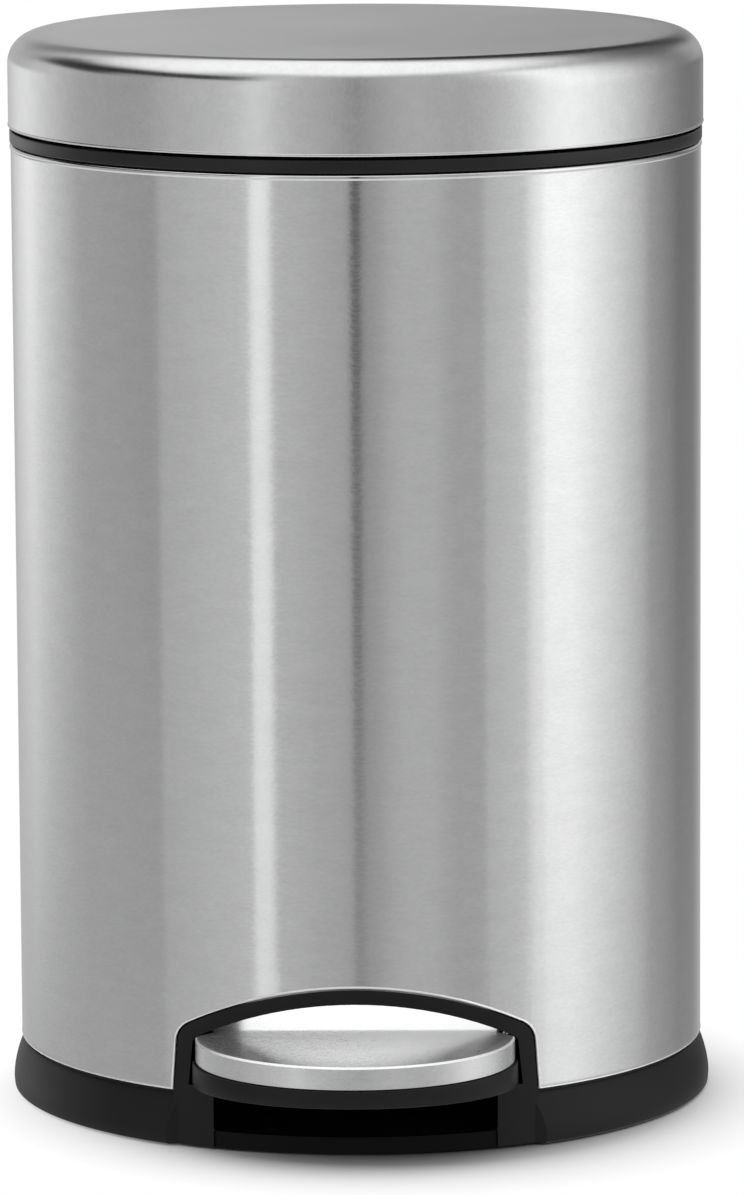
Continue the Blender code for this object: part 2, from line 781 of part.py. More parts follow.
def base_moulding(bench):
    groove_outer = FOOT_RING_OUTER + GAP
    groove_inner = FOOT_RING_OUTER - FOOT_RING_WIDTH - GAP
    collar_top = BODY_BOTTOM + COLLAR_HEIGHT
    profile = [
        (0, FLOOR_TOP),
        (COLLAR_INNER, FLOOR_TOP),
        (COLLAR_INNER, collar_top),
        (COLLAR_OUTER, collar_top),
        (COLLAR_OUTER, SKIRT_TOP),
    ]
    profile += skirt_profile()
    profile += [
        (groove_outer, SKIRT_BOTTOM),
        (groove_outer, FLOOR_BOTTOM),
        (groove_inner, FLOOR_BOTTOM),
        (groove_inner, FOOT_RIB_BOTTOM),
        (groove_inner - FOOT_RIB_WIDTH, FOOT_RIB_BOTTOM),
        (groove_inner - FOOT_RIB_WIDTH, FLOOR_BOTTOM),
        (0, FLOOR_BOTTOM),
    ]
    base = turned("base_moulding", profile)
    bench.part(base, black_plastic)
    front = -BODY_RADIUS - OVERRUN
    trim = box(
        "skirt_trim",
        (-ARCH_HALF, front - SKIRT_BULGE, -OVERRUN),
        (ARCH_HALF, -BODY_RADIUS / 2, BODY_BOTTOM),
    )
    keep = cylinder(
        "skirt_keep",
        BODY_RADIUS,
        (0, 0, -2 * OVERRUN),
        (0, 0, BODY_BOTTOM + OVERRUN),
        TURN_STEPS,
    )
    cut(bench, trim, keep)
    cut(bench, base, trim)
    arch = turned(
        "arch_sleeve",
        [
            (BODY_RADIUS + ARCH_PROUD, ARCH_TOP + OVERRUN),
            (BODY_RADIUS + ARCH_PROUD, SKIRT_BOTTOM + GAP),
            (BODY_RADIUS + ARCH_PROUD - ARCH_DEPTH, SKIRT_BOTTOM + GAP),
            (BODY_RADIUS + ARCH_PROUD - ARCH_DEPTH, ARCH_TOP + OVERRUN),
        ],
        closed=True,
    )
    outline = arch_outline(0, -OVERRUN)
    keep_inside(bench, arch, front_prism("arch_keep", outline, front, -BODY_RADIUS / 2))
    join(bench, base, arch)
    window = front_prism("window_cut", window_outline(), front, -BODY_RADIUS / 2)
    cut(bench, base, window)
    saddle_in = TAIL_HALF + 2 * GAP
    for side in (-1, 1):
        near = side * saddle_in
        far = side * (saddle_in + SADDLE_WALL)
        saddle = box(
            f"saddle_{side + 1}",
            (min(near, far), PIVOT_Y - SADDLE_HALF, FLOOR_TOP - BITE),
            (max(near, far), PIVOT_Y + SADDLE_HALF, PIVOT_Z + HUB_RADIUS),
        )
        join(bench, base, saddle)
        boss = cylinder(
            f"boss_{side + 1}",
            BOSS_RADIUS,
            (side * BOSS_X, BOSS_Y, FLOOR_TOP - BITE),
            (side * BOSS_X, BOSS_Y, CHANNEL_FOOT - GAP),
        )
        join(bench, base, boss)
        hole = cylinder(
            f"boss_hole_{side + 1}",
            SCREW_RADIUS + GAP,
            (side * BOSS_X, BOSS_Y, FLOOR_TOP + BITE),
            (side * BOSS_X, BOSS_Y, CHANNEL_FOOT + OVERRUN),
        )
        cut(bench, base, hole)
    pin_out = saddle_in + SADDLE_WALL + OVERRUN
    bore = along_x("saddle_bore", PIVOT_PIN_RADIUS + GAP, -pin_out, pin_out, PIVOT_Y, PIVOT_Z)
    cut(bench, base, bore)


def anti_slip_ring(bench):
    inner = FOOT_RING_OUTER - FOOT_RING_WIDTH
    top = FLOOR_BOTTOM - GAP
    ring = turned(
        "anti_slip_ring",
        [(FOOT_RING_OUTER, top), (FOOT_RING_OUTER, 0), (inner, 0), (inner, top)],
        closed=True,
    )
    bench.part(ring, rubber)


def pedal_pivot_pin(bench):
    out = TAIL_HALF + 2 * GAP + SADDLE_WALL + GAP
    end = out + 2 * CLIP_WIDTH
    headed_pin(bench, "pedal_pivot_pin", PIVOT_PIN_RADIUS, -out, end, PIVOT_Y, PIVOT_Z)
    bench.part(clip_ring("pivot_clip", PIVOT_PIN_RADIUS, out, PIVOT_Y, PIVOT_Z), bright_metal)


def rear_channel(bench):
    """The cover that guides the rod and holds the damper behind the bucket."""
    web_back = CHANNEL_Y + CHANNEL_WALL
    edge_y = math.sqrt(COLLAR_INNER**2 - CHANNEL_HALF**2) - GAP
    channel = box(
        "rear_channel",
        (-CHANNEL_HALF, CHANNEL_Y, CHANNEL_WEB_BOTTOM),
        (CHANNEL_HALF, web_back, BODY_TOP),
    )
    bench.part(channel, black_plastic)
    for side in (-1, 1):
        inner = side * (CHANNEL_HALF - CHANNEL_WALL)
        outer = side * (CHANNEL_HALF + GAP)
        wall = box(
            f"channel_wall_{side + 1}",
            (min(inner, outer), CHANNEL_Y - GAP, CHANNEL_FOOT - GAP / 2),
            (max(inner, outer), edge_y, BODY_TOP - GAP / 2),
        )
        join(bench, channel, wall)
        reach = side * (CHANNEL_HALF + CHANNEL_TAB_REACH)
        tab = box(
            f"channel_tab_{side + 1}",
            (min(inner + side * GAP, reach), CHANNEL_Y, CHANNEL_FOOT),
            (max(inner + side * GAP, reach), CHANNEL_Y + CHANNEL_TAB_DEPTH, CHANNEL_FOOT + CHANNEL_WALL),
        )
        join(bench, channel, tab)
        hole = cylinder(
            f"channel_tab_hole_{side + 1}",
            SCREW_RADIUS + GAP,
            (side * BOSS_X, BOSS_Y, CHANNEL_FOOT - OVERRUN),
            (side * BOSS_X, BOSS_Y, CHANNEL_FOOT + OVERRUN),
        )
        cut(bench, channel, hole)
    web_bite = web_back - BITE
    for index, height in enumerate(GUIDE_HEIGHTS):
        guide = box(
            f"rod_guide_{index}",
            (ROD_X - GUIDE_HALF, web_bite, height),
            (ROD_X + GUIDE_HALF, ROD_Y + GUIDE_REACH, height + GUIDE_THICK),
        )
        join(bench, channel, guide)
        eye = cylinder(
            f"rod_guide_eye_{index}",
            ROD_RADIUS + GUIDE_PLAY,
            (ROD_X, ROD_Y, height - OVERRUN),
            (ROD_X, ROD_Y, height + GUIDE_THICK + OVERRUN),
        )
        cut(bench, channel, eye)
    damper_y = ROD_Y + DAMPER_SHIFT
    low_x = DAMPER_X - DAMPER_HOLD_HALF
    high_x = DAMPER_X + DAMPER_HOLD_HALF
    top = DAMPER_BOTTOM + DAMPER_LENGTH
    holds = [
        (DAMPER_BOTTOM + DAMPER_LENGTH * share, DAMPER_CLIP_HEIGHT) for share in DAMPER_CLIP_SHARES
    ]
    holds += [(DAMPER_BOTTOM - GAP - DAMPER_STOP, DAMPER_STOP), (top + GAP, DAMPER_STOP)]
    for index, (height, thick) in enumerate(holds):
        hold = box(
            f"damper_hold_{index}",
            (low_x, web_bite, height),
            (high_x, damper_y + DAMPER_SHIFT + CHANNEL_WALL, height + thick),
        )
        join(bench, channel, hold)
    socket = cylinder(
        "damper_socket",
        DAMPER_RADIUS + GAP,
        (DAMPER_X, damper_y, DAMPER_BOTTOM - GAP),
        (DAMPER_X, damper_y, top + GAP),
        SMALL_STEPS,
    )
    cut(bench, channel, socket)
    rod_way = cylinder(
        "damper_rod_way",
        PLUNGER_RADIUS + RUN_GAP,
        (DAMPER_X, damper_y, DAMPER_BOTTOM - DAMPER_STOP - OVERRUN),
        (DAMPER_X, damper_y, DAMPER_BOTTOM + OVERRUN),
    )
    cut(bench, channel, rod_way)


def channel_screws(bench):
    """The screws through the channel's feet into the base."""
    seat = CHANNEL_FOOT + CHANNEL_WALL + GAP
    for word, side in SIDES:
        spot_x = side * BOSS_X
        screw = cylinder(
            f"channel_screw_{word}",
            SCREW_RADIUS,
            (spot_x, BOSS_Y, FLOOR_TOP + BITE + GAP),
            (spot_x, BOSS_Y, seat + BITE),
        )
        bench.part(screw, bright_metal)
        head = cylinder(
            f"channel_screw_head_{word}",
            SCREW_HEAD_RADIUS,
            (spot_x, BOSS_Y, seat),
            (spot_x, BOSS_Y, seat + SCREW_HEAD),
        )
        join(bench, screw, head)


def damper_cylinder(bench):
    """A tube closed at the top, with the rod's hole in its lower end."""
    bore = DAMPER_RADIUS - DAMPER_WALL
    rod_hole = PLUNGER_RADIUS + GAP
    tube = turned(
        "damper_cylinder",
        [
            (0, DAMPER_LENGTH),
            (DAMPER_RADIUS, DAMPER_LENGTH),
            (DAMPER_RADIUS, 0),
            (rod_hole, 0),
            (rod_hole, DAMPER_END),
            (bore, DAMPER_END),
            (bore, DAMPER_LENGTH - DAMPER_END),
            (0, DAMPER_LENGTH - DAMPER_END),
        ],
        steps=SMALL_STEPS,
    )
    tube.location = (DAMPER_X, ROD_Y + DAMPER_SHIFT, DAMPER_BOTTOM)
    bench.part(tube, bright_metal)


def lid_shell(bench):
    inner_radius = LID_RADIUS - STEEL
    corner_r = LID_RADIUS - LID_CORNER
    corner_z = HEIGHT - LID_CORNER
    quarter = math.pi / 2
    outer = arc((corner_r, corner_z), LID_CORNER, quarter, 0)
    inner = arc((corner_r, corner_z), LID_CORNER - STEEL, 0, quarter)
    profile = [(0, HEIGHT)] + outer + [(LID_RADIUS, LID_BOTTOM), (inner_radius, LID_BOTTOM)]
    profile += inner + [(0, HEIGHT - STEEL)]
    shell = turned("lid_shell", profile)
    bench.part(shell, steel, bench.lid)


def lid_liner(bench):
    """The black lining with its hinge arms and the lug that the lift rod drives."""
    half = LINER_WALL / 2
    wall = LID_RADIUS - STEEL - GAP - half
    lip_z = LID_BOTTOM + LINER_RAISE + half
    panel_z = HEIGHT - LINER_DROP
    corner = (wall - LINER_CORNER, panel_z - LINER_CORNER)
    profile = [(0, panel_z)] + arc(corner, LINER_CORNER, math.pi / 2, 0)
    profile += [(wall, lip_z), (wall - LINER_LIP, lip_z)]
    liner = turned("lid_liner", profile)
    bench.part(liner, black_plastic, bench.lid)
    thick = liner.modifiers.new("Thickness", "SOLIDIFY")
    thick.thickness = LINER_WALL
    thick.offset = 0
    thick.use_even_offset = True
    arm_low = HINGE_Z - ARM_BOTTOM
    arm_high = LID_BOTTOM - GAP
    root_back = math.sqrt((wall + half) ** 2 - ARM_OUTER_X**2) - GAP
    for side in (-1, 1):
        near = min(side * ARM_INNER_X, side * ARM_OUTER_X)
        far = max(side * ARM_INNER_X, side * ARM_OUTER_X)
        root = box(
            f"arm_root_{side + 1}",
            (near + GAP, ARM_ROOT_Y, arm_low + GAP),
            (far - GAP, root_back, lip_z),
        )
        join(bench, liner, root)
        arm = box(
            f"arm_{side + 1}",
            (near + GAP / 2, ARM_ROOT_Y + GAP, arm_low),
            (far - GAP / 2, HINGE_Y, arm_high),
        )
        join(bench, liner, arm)
        knuckle = along_x(f"knuckle_{side + 1}", KNUCKLE_RADIUS, near, far, HINGE_Y, HINGE_Z)
        join(bench, liner, knuckle)
    bore = along_x(
        "knuckle_bore",
        HINGE_PIN_RADIUS + GAP,
        -EAR_OUTER_X,
        EAR_OUTER_X,
        HINGE_Y,
        HINGE_Z,
    )
    cut(bench, liner, bore)
    join(bench, liner, side_prism("drive_lug", lug_outline(), -LUG_HALF, LUG_HALF))
    slot_out = LUG_HALF + OVERRUN
    cut(bench, liner, side_prism("drive_slot", lug_slot(), -slot_out, slot_out))


def lug_frame(along, across):
    """A (y, z) point counted from the hinge along the lug's slot and across it."""
    down = math.sin(LUG_ANGLE)
    forward = math.cos(LUG_ANGLE)
    return (
        HINGE_Y - along * forward - across * down,
        HINGE_Z - along * down + across * forward,
    )


def lug_reach():
    """How near and how far from the hinge the middle of the rod's pin comes in the slot."""
    near = ROD_OFFSET - LUG_SLOT_PLAY
    far = ROD_OFFSET / math.cos(LUG_ANGLE) + LUG_SLOT_PLAY
    return near, far


def lug_outline():
    far = lug_reach()[1]
    edge = LUG_SLOT_HALF + LUG_WALL
    back = COLLAR_OUTER - GAP
    tip_high = lug_frame(far + edge, edge)
    tip_low = lug_frame(far + edge, -edge)
    back_z = tip_low[1] + (back - tip_low[0]) * math.tan(LUG_ANGLE)
    top = HINGE_Z + LUG_TOP_RISE
    return rounded(
        [
            (back, top, LUG_WALL / 2),
            (back - LUG_TOP_DEPTH, top, LUG_WALL / 2),
            (*tip_high, edge - GAP),
            (*tip_low, edge - GAP),
            (back, back_z, LUG_WALL / 2),
        ]
    )


def lug_slot():
    near, far = lug_reach()
    slope = LUG_ANGLE
    start = lug_frame(near, 0)
    end = lug_frame(far, 0)
    turn = math.pi / 2
    upper = arc(start, LUG_SLOT_HALF, slope - turn, slope + turn, ARC_STEPS)
    lower = arc(end, LUG_SLOT_HALF, slope + turn, slope + 3 * turn, ARC_STEPS)
    return upper + lower


def lid_bumpers(bench):
    """The soft pads under the lid's lip."""
    radius = LID_RADIUS - STEEL - GAP - LINER_WALL / 2 - LINER_LIP / 2
    low = RIM_FLANGE_TOP + GAP
    high = LID_BOTTOM + LINER_RAISE - GAP
    for index in range(BUMPER_COUNT):
        angle = math.pi / 4 + 2 * math.pi * index / BUMPER_COUNT
        across = radius * math.cos(angle)
        along = radius * math.sin(angle)
        pad = cylinder(
            f"lid_bumper_{index + 1}",
            BUMPER_RADIUS,
            (across, along, low),
            (across, along, high),
        )
        bench.part(pad, rubber, bench.lid)


def sheet_line():
    """The top of the pedal's steel sheet as (y, z) points, front to back."""
    slope = math.tan(PEDAL_TILT)
    front = PEDAL_FRONT_Y - OVERRUN
    return [
        (front, PEDAL_TOP + (front - PEDAL_WIDEST_Y) * slope),
        (CREASE_Y, PEDAL_TOP + (CREASE_Y - PEDAL_WIDEST_Y) * slope),
        (BACK_Y, BACK_TOP),
    ]


def pedal_plate(bench):
    top = sheet_line()
    under = beside(top, STEEL)
    sheet_half = PEDAL_HALF + OVERRUN
    plate = side_prism("pedal_plate", top + under[::-1], -sheet_half, sheet_half)
    bench.part(plate, steel, bench.pedal)
    half = PEDAL_HALF - PEDAL_LEDGE
    depth = PEDAL_DEPTH - PEDAL_LEDGE
    back = BACK_Y - PEDAL_WIDEST_Y + OVERRUN
    plan = half_ellipse(half, depth) + [
        (-PLATE_BACK_HALF, 0),
        (-PLATE_BACK_HALF, back),
        (PLATE_BACK_HALF, back),
        (PLATE_BACK_HALF, 0),
    ]
    keep_inside(
        bench,
        plate,
        plan_prism("plate_plan", plan, PEDAL_BOTTOM, BACK_TOP + OVERRUN, hinge_y=PEDAL_WIDEST_Y),
    )
    outer = half_ellipse(half - PEDAL_RIM, depth - PEDAL_RIM)
    inner = half_ellipse(half - PEDAL_RIM - STEEL, depth - PEDAL_RIM - STEEL)
    skirt = plan_prism(
        "plate_skirt",
        outer + inner[::-1],
        PEDAL_TOP - PEDAL_SKIRT,
        PEDAL_TOP - STEEL / 2,
        PEDAL_TILT,
        PEDAL_WIDEST_Y,
    )
    join(bench, plate, skirt)


def band_top():
    """The line that the black band's top follows, GAP below the steel skirt."""
    drop = PEDAL_SKIRT + GAP
    return [(along, height - drop) for along, height in sheet_line()[:2]]


def pedal_moulding(bench):
    """The black pedal body: a band, a core under the steel and a ribbed tail to the pivot."""
    band = plan_prism(
        "pedal_moulding",
        half_ellipse(PEDAL_HALF, PEDAL_DEPTH),
        PEDAL_BOTTOM,
        PEDAL_TOP,
        hinge_y=PEDAL_WIDEST_Y,
    )
    bench.part(band, black_plastic, bench.pedal)
    above = BACK_TOP + OVERRUN
    line = band_top()
    wide = PEDAL_HALF + OVERRUN
    level = side_prism(
        "band_level", line + [(line[1][0], above), (line[0][0], above)], -wide, wide
    )
    cut(bench, band, level)
    inset = PEDAL_LEDGE + PEDAL_RIM + STEEL + GAP
    core = plan_prism(
        "pedal_core",
        half_ellipse(PEDAL_HALF - inset, PEDAL_DEPTH - inset),
        PEDAL_BOTTOM + TAIL_SKIN,
        PEDAL_TOP + OVERRUN,
        hinge_y=PEDAL_WIDEST_Y,
    )
    under = beside(sheet_line(), STEEL + GAP)
    room = side_prism(
        "core_level", under[:2] + [(under[1][0], above), (under[0][0], above)], -wide, wide
    )
    cut(bench, core, room)
    join(bench, band, core)
    tail_front = PEDAL_WIDEST_Y - TAIL_NOSE
    front_z = under[0][1] + (tail_front - under[0][0]) * math.tan(PEDAL_TILT)
    back_y = under[2][0] + TAIL_BACK
    slit_top = LEVER_FRONT_HIGH + GAP
    tail = [
        (tail_front, PEDAL_BOTTOM + GAP, 0),
        (tail_front, front_z - GAP, 0),
        (under[1][0], under[1][1] - GAP / 2, 0),
        (under[2][0] - GAP, under[2][1] - GAP, 0),
        (back_y, under[2][1] - TAIL_SKIN, 0),
        (back_y + TAIL_SKIN, slit_top + TAIL_SKIN, 0),
        (PIVOT_Y, PIVOT_Z + HUB_RADIUS - GAP, 0),
        (PIVOT_Y, PIVOT_Z - HUB_RADIUS + GAP, 0),
    ]
    join(bench, band, side_prism("pedal_tail", rounded(tail), -TAIL_HALF, TAIL_HALF))
    hub_half = TAIL_HALF - GAP / 2
    hub = along_x("pedal_hub", HUB_RADIUS, -hub_half, hub_half, PIVOT_Y, PIVOT_Z, SMALL_STEPS)
    join(bench, band, hub)
    for side in (-1, 1):
        near = side * SPINE_HALF
        far = side * (TAIL_HALF - TAIL_SKIN)
        pocket = box(
            f"pedal_pocket_{side + 1}",
            (min(near, far), POCKET_FRONT_Y, 0),
            (max(near, far), POCKET_BACK_Y, slit_top),
        )
        cut(bench, band, pocket)
    slit_half = LEVER_HALF + GAP
    slit = box(
        "lever_slit",
        (-slit_half, LEVER_FRONT_Y - GAP, 0),
        (slit_half, PIVOT_Y + HUB_RADIUS + OVERRUN, slit_top),
    )
    cut(bench, band, slit)
    out = TAIL_HALF + OVERRUN
    bore = along_x("pedal_bore", PIVOT_PIN_RADIUS + GAP, -out, out, PIVOT_Y, PIVOT_Z)
    cut(bench, band, bore)
    for index, (along, height) in enumerate(RIVET_PLACES):
        reach = SPINE_HALF + OVERRUN
        hole = along_x(
            f"moulding_rivet_hole_{index}", RIVET_RADIUS + GAP, -reach, reach, along, height
        )
        cut(bench, band, hole)


def pedal_lever(bench):
    """A steel strip on edge from under the pedal to the link at the back."""
    end_y = ROD_Y + LEVER_END_HALF
    outline = rounded(
        [
            (LEVER_FRONT_Y, LEVER_FRONT_LOW, LEVER_HALF),
            (PIVOT_Y, PIVOT_Z - LEVER_HUB_HALF, LEVER_HUB_HALF),
            (end_y, LINK_Z - LEVER_END_HALF, LEVER_END_HALF - GAP),
            (end_y, LINK_Z + LEVER_END_HALF, LEVER_END_HALF - GAP),
            (PIVOT_Y, PIVOT_Z + LEVER_HUB_HALF, LEVER_HUB_HALF),
            (LEVER_FRONT_Y, LEVER_FRONT_HIGH, LEVER_HALF),
        ]
    )
    lever = side_prism("pedal_lever", outline, -LEVER_HALF, LEVER_HALF)
    bench.part(lever, bright_metal, bench.pedal)
    out = LEVER_HALF + OVERRUN
    holes = [(PIVOT_Y, PIVOT_Z, PIVOT_PIN_RADIUS), (ROD_Y, LINK_Z, LINK_PIN_RADIUS)]
    holes += [(along, height, RIVET_RADIUS) for along, height in RIVET_PLACES]
    for index, (along, height, radius) in enumerate(holes):
        hole = along_x(f"lever_hole_{index}", radius + GAP, -out, out, along, height)
        cut(bench, lever, hole)


def lever_rivets(bench):
    """The rivets through the moulding's spine and the lever."""
    seat = SPINE_HALF + GAP
    for index, (along, height) in enumerate(RIVET_PLACES):
        rivet = along_x(
            f"lever_rivet_{index + 1}", RIVET_RADIUS, -seat - BITE, seat + BITE, along, height
        )
        bench.part(rivet, bright_metal, bench.pedal)
        for word, side in SIDES:
            inner = side * seat
            outer = side * (seat + RIVET_HEAD)
            head = along_x(
                f"rivet_head_{index + 1}_{word}",
                RIVET_HEAD_RADIUS,
                min(inner, outer),
                max(inner, outer),
                along,
                height,
            )
            join(bench, rivet, head)


def rear_link_pin(bench):
    """The pin at the lever's end that the lift rod and the damper hang on."""
    seat = DAMPER_X - PLUNGER_EYE_HALF - GAP
    clip_low = ROD_X + ROD_EYE_HALF + GAP
    end = clip_low + CLIP_WIDTH + GAP
    pin = along_x("rear_link_pin", LINK_PIN_RADIUS, seat - BITE, end, ROD_Y, LINK_Z)
    bench.part(pin, bright_metal, bench.pedal)
    head = along_x(
        "link_pin_head", LINK_PIN_RADIUS + PIN_HEAD_WALL, seat - PIN_HEAD, seat, ROD_Y, LINK_Z
    )
    join(bench, pin, head)
    clip = clip_ring("link_clip", LINK_PIN_RADIUS, clip_low, ROD_Y, LINK_Z)
    bench.part(clip, bright_metal, bench.pedal)


def lift_rod(bench):
    """The wire that the lever pushes up and the lid's lug rides on."""
    hole = LINK_PIN_RADIUS + GAP
    eye_radius = hole + ROD_EYE_WALL
    quarter = math.pi / 2
    corner = arc((ROD_X - ROD_BEND, ROD_TOP - ROD_BEND), ROD_BEND, 0, quarter)
    points = [(ROD_X, ROD_Y, LINK_Z + hole + BITE / 2)]
    points += [(across, ROD_Y, up) for across, up in corner]
    points += [(ROD_TIP_X, ROD_Y, ROD_TOP)]
    rod = wire("lift_rod", points, ROD_RADIUS)
    bench.part(rod, bright_metal, bench.rod)
    low = ROD_X - ROD_EYE_HALF - GAP / 2
    high = ROD_X + ROD_EYE_HALF
    join(bench, rod, along_x("rod_eye", eye_radius, low, high, ROD_Y, LINK_Z))
    out = ROD_EYE_HALF + OVERRUN
    cut(bench, rod, along_x("rod_eye_hole", hole, ROD_X - out, ROD_X + out, ROD_Y, LINK_Z))
    clip = clip_ring("rod_clip", ROD_RADIUS, -LUG_HALF - RUN_GAP - CLIP_WIDTH, ROD_Y, ROD_TOP)
    bench.part(clip, bright_metal, bench.rod)


def damper_plunger(bench):
    """The damper's rod: an eye on the link pin below and a grooved piston in the tube."""
    eye_hole = LINK_PIN_RADIUS + PLUNGER_EYE_PLAY
    eye_radius = eye_hole + PLUNGER_EYE_WALL
    damper_y = ROD_Y + DAMPER_SHIFT
    foot = eye_hole + BITE / 2
    piston_low = DAMPER_BOTTOM + DAMPER_END + PISTON_LIFT - LINK_Z
    piston_high = piston_low + PISTON_LENGTH
    groove_half = SEAL_WIDTH / 2 + GAP
    middle = (piston_low + piston_high) / 2
    groove = PISTON_RADIUS - PISTON_GROOVE
    plunger = turned(
        "damper_plunger",
        [
            (0, piston_high),
            (PISTON_RADIUS, piston_high),
            (PISTON_RADIUS, middle + groove_half),
            (groove, middle + groove_half),
            (groove, middle - groove_half),
            (PISTON_RADIUS, middle - groove_half),
            (PISTON_RADIUS, piston_low),
            (PLUNGER_RADIUS, piston_low),
            (PLUNGER_RADIUS, foot),
            (0, foot),
        ],
        steps=SMALL_STEPS,
    )
    plunger.location = (DAMPER_X, damper_y, LINK_Z)
    bench.part(plunger, bright_metal, bench.damper)
    low = DAMPER_X - PLUNGER_EYE_HALF
    high = DAMPER_X + PLUNGER_EYE_HALF
    eye = along_x("plunger_eye", eye_radius, low, high, damper_y, LINK_Z)
    join(bench, plunger, eye)
    out = PLUNGER_EYE_HALF + OVERRUN
    hole = along_x(
        "plunger_eye_hole", eye_hole, DAMPER_X - out, DAMPER_X + out, damper_y, LINK_Z
    )
    cut(bench, plunger, hole)
    seal_half = SEAL_WIDTH / 2
    seal_in = groove + GAP
    seal_out = PISTON_RADIUS + SEAL_PROUD
    seal = turned(
        "damper_seal",
        [
            (seal_out, seal_half),
            (seal_out, -seal_half),
            (seal_in, -seal_half),
            (seal_in, seal_half),
        ],
        closed=True,
        steps=SMALL_STEPS,
    )
    seal.location = (DAMPER_X, damper_y, LINK_Z + middle)
    bench.part(seal, rubber, bench.damper)


def inner_bucket(bench):
    floor = BUCKET_BOTTOM + BUCKET_WALL
    bucket = turned(
        "inner_bucket",
        [
            (0, floor),
            (BUCKET_BOTTOM_RADIUS - BUCKET_WALL, floor),
            (BUCKET_TOP_RADIUS - BUCKET_WALL, BUCKET_TOP),
            (BUCKET_FLANGE_RADIUS, BUCKET_TOP),
            (BUCKET_FLANGE_RADIUS, BUCKET_TOP - BUCKET_WALL),
            (BUCKET_TOP_RADIUS, BUCKET_TOP - BUCKET_WALL),
            (BUCKET_BOTTOM_RADIUS, BUCKET_BOTTOM),
            (0, BUCKET_BOTTOM),
        ],
    )
    bucket.location = (0, BUCKET_Y, 0)
    bench.part(bucket, bucket_plastic, bench.bucket)
    ear_low = BAIL_SWEEP + EAR_WALL / 2 + RUN_GAP
    for side in (-1, 1):
        near = side * ear_low
        far = side * (ear_low + EAR_WALL)
        ear = box(
            f"bail_ear_{side + 1}",
            (min(near, far), BUCKET_Y - EAR_HALF, BUCKET_TOP - BITE),
            (max(near, far), BUCKET_Y + EAR_HALF, BAIL_Z + EAR_CROWN),
        )
        join(bench, bucket, ear)
    out = ear_low + EAR_WALL + OVERRUN
    hole = along_x("bail_ear_hole", BAIL_RADIUS + GAP, -out, out, BUCKET_Y, BAIL_Z)
    cut(bench, bucket, hole)


def bail_points(half_angle):
    """Points of the bail's bow at the front, from +X to -X, within half_angle of the middle."""
    steps = 2 * ARC_STEPS
    start = -math.pi / 2 + half_angle
    end = -math.pi / 2 - half_angle
    bow = arc((0, BUCKET_Y), BAIL_SWEEP, start, end, steps)
    return [(across, along, BAIL_Z) for across, along in bow]


def bucket_bail(bench):
    tip = BAIL_SWEEP + EAR_WALL / 2 + RUN_GAP + EAR_WALL + BAIL_TIP
    turn = BAIL_BEND / BAIL_SWEEP
    bow = bail_points(math.pi / 2 - 2 * turn)
    right = [(tip, BUCKET_Y, BAIL_Z)]
    right += [
        (across, along, BAIL_Z)
        for across, along in arc(
            (BAIL_SWEEP + BAIL_BEND, BUCKET_Y - BAIL_BEND),
            BAIL_BEND,
            math.pi / 2,
            math.pi,
            CORNER_STEPS - 1,
        )
    ]
    left = [(-across, along, height) for across, along, height in reversed(right)]
    bail = wire("bucket_bail", right + bow + left, BAIL_RADIUS)
    bench.part(bail, bright_metal, bench.bail)
    grip = wire("bail_grip", bail_points(GRIP_HALF_ANGLE), GRIP_RADIUS)
    bench.part(grip, bucket_plastic, bench.bail)
    cut(bench, grip, wire("grip_bore", bail_points(2 * GRIP_HALF_ANGLE), BAIL_RADIUS + GAP))


def main():
    clear_scene()
    root = Carrier("pedal_bin", (0, 0, 0))
    bench = Bench(new_collection("pedal_bin"), new_collection("cutters"), root)
    root.empty.location = (0, BACK_SHIFT, 0)
    bench.lid = Carrier("lid_hinge_axis", (0, HINGE_Y, HINGE_Z), root)
    bench.pedal = Carrier("pedal_pivot_axis", (0, PIVOT_Y, PIVOT_Z), root)
    bench.rod = Carrier("rod_eye_axis", (0, ROD_Y, LINK_Z), bench.pedal)
    bench.damper = Carrier("damper_axis", (DAMPER_X, ROD_Y + DAMPER_SHIFT, LINK_Z), root)
    bench.bucket = Carrier("bucket_axis", (0, BUCKET_Y, BUCKET_BOTTOM), root)
    bench.bail = Carrier("bail_axis", (0, BUCKET_Y, BAIL_Z), bench.bucket)
    body_shell(bench)
    top_rim(bench)
    hinge_housing(bench)
    housing_screws(bench)
    hinge_pin(bench)
    base_moulding(bench)
    anti_slip_ring(bench)
    pedal_pivot_pin(bench)
    rear_channel(bench)
    channel_screws(bench)
    damper_cylinder(bench)
    lid_shell(bench)
    lid_liner(bench)
    lid_bumpers(bench)
    pedal_plate(bench)
    pedal_moulding(bench)
    pedal_lever(bench)
    lever_rivets(bench)
    rear_link_pin(bench)
    lift_rod(bench)
    damper_plunger(bench)
    inner_bucket(bench)
    bucket_bail(bench)


main()
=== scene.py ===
"""Dresses the round pedal bin: brushed steel sleeve, lid and pedal over black mouldings.

Every piece is modelled in metres in the row frame, with +Z up and the pedal towards -Y, and
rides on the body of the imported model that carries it.
"""

import logging
import math
from collections.abc import Callable, Iterable, Sequence
from dataclasses import dataclass
from enum import Enum

import bmesh
import bpy
from mathutils import Matrix, Vector

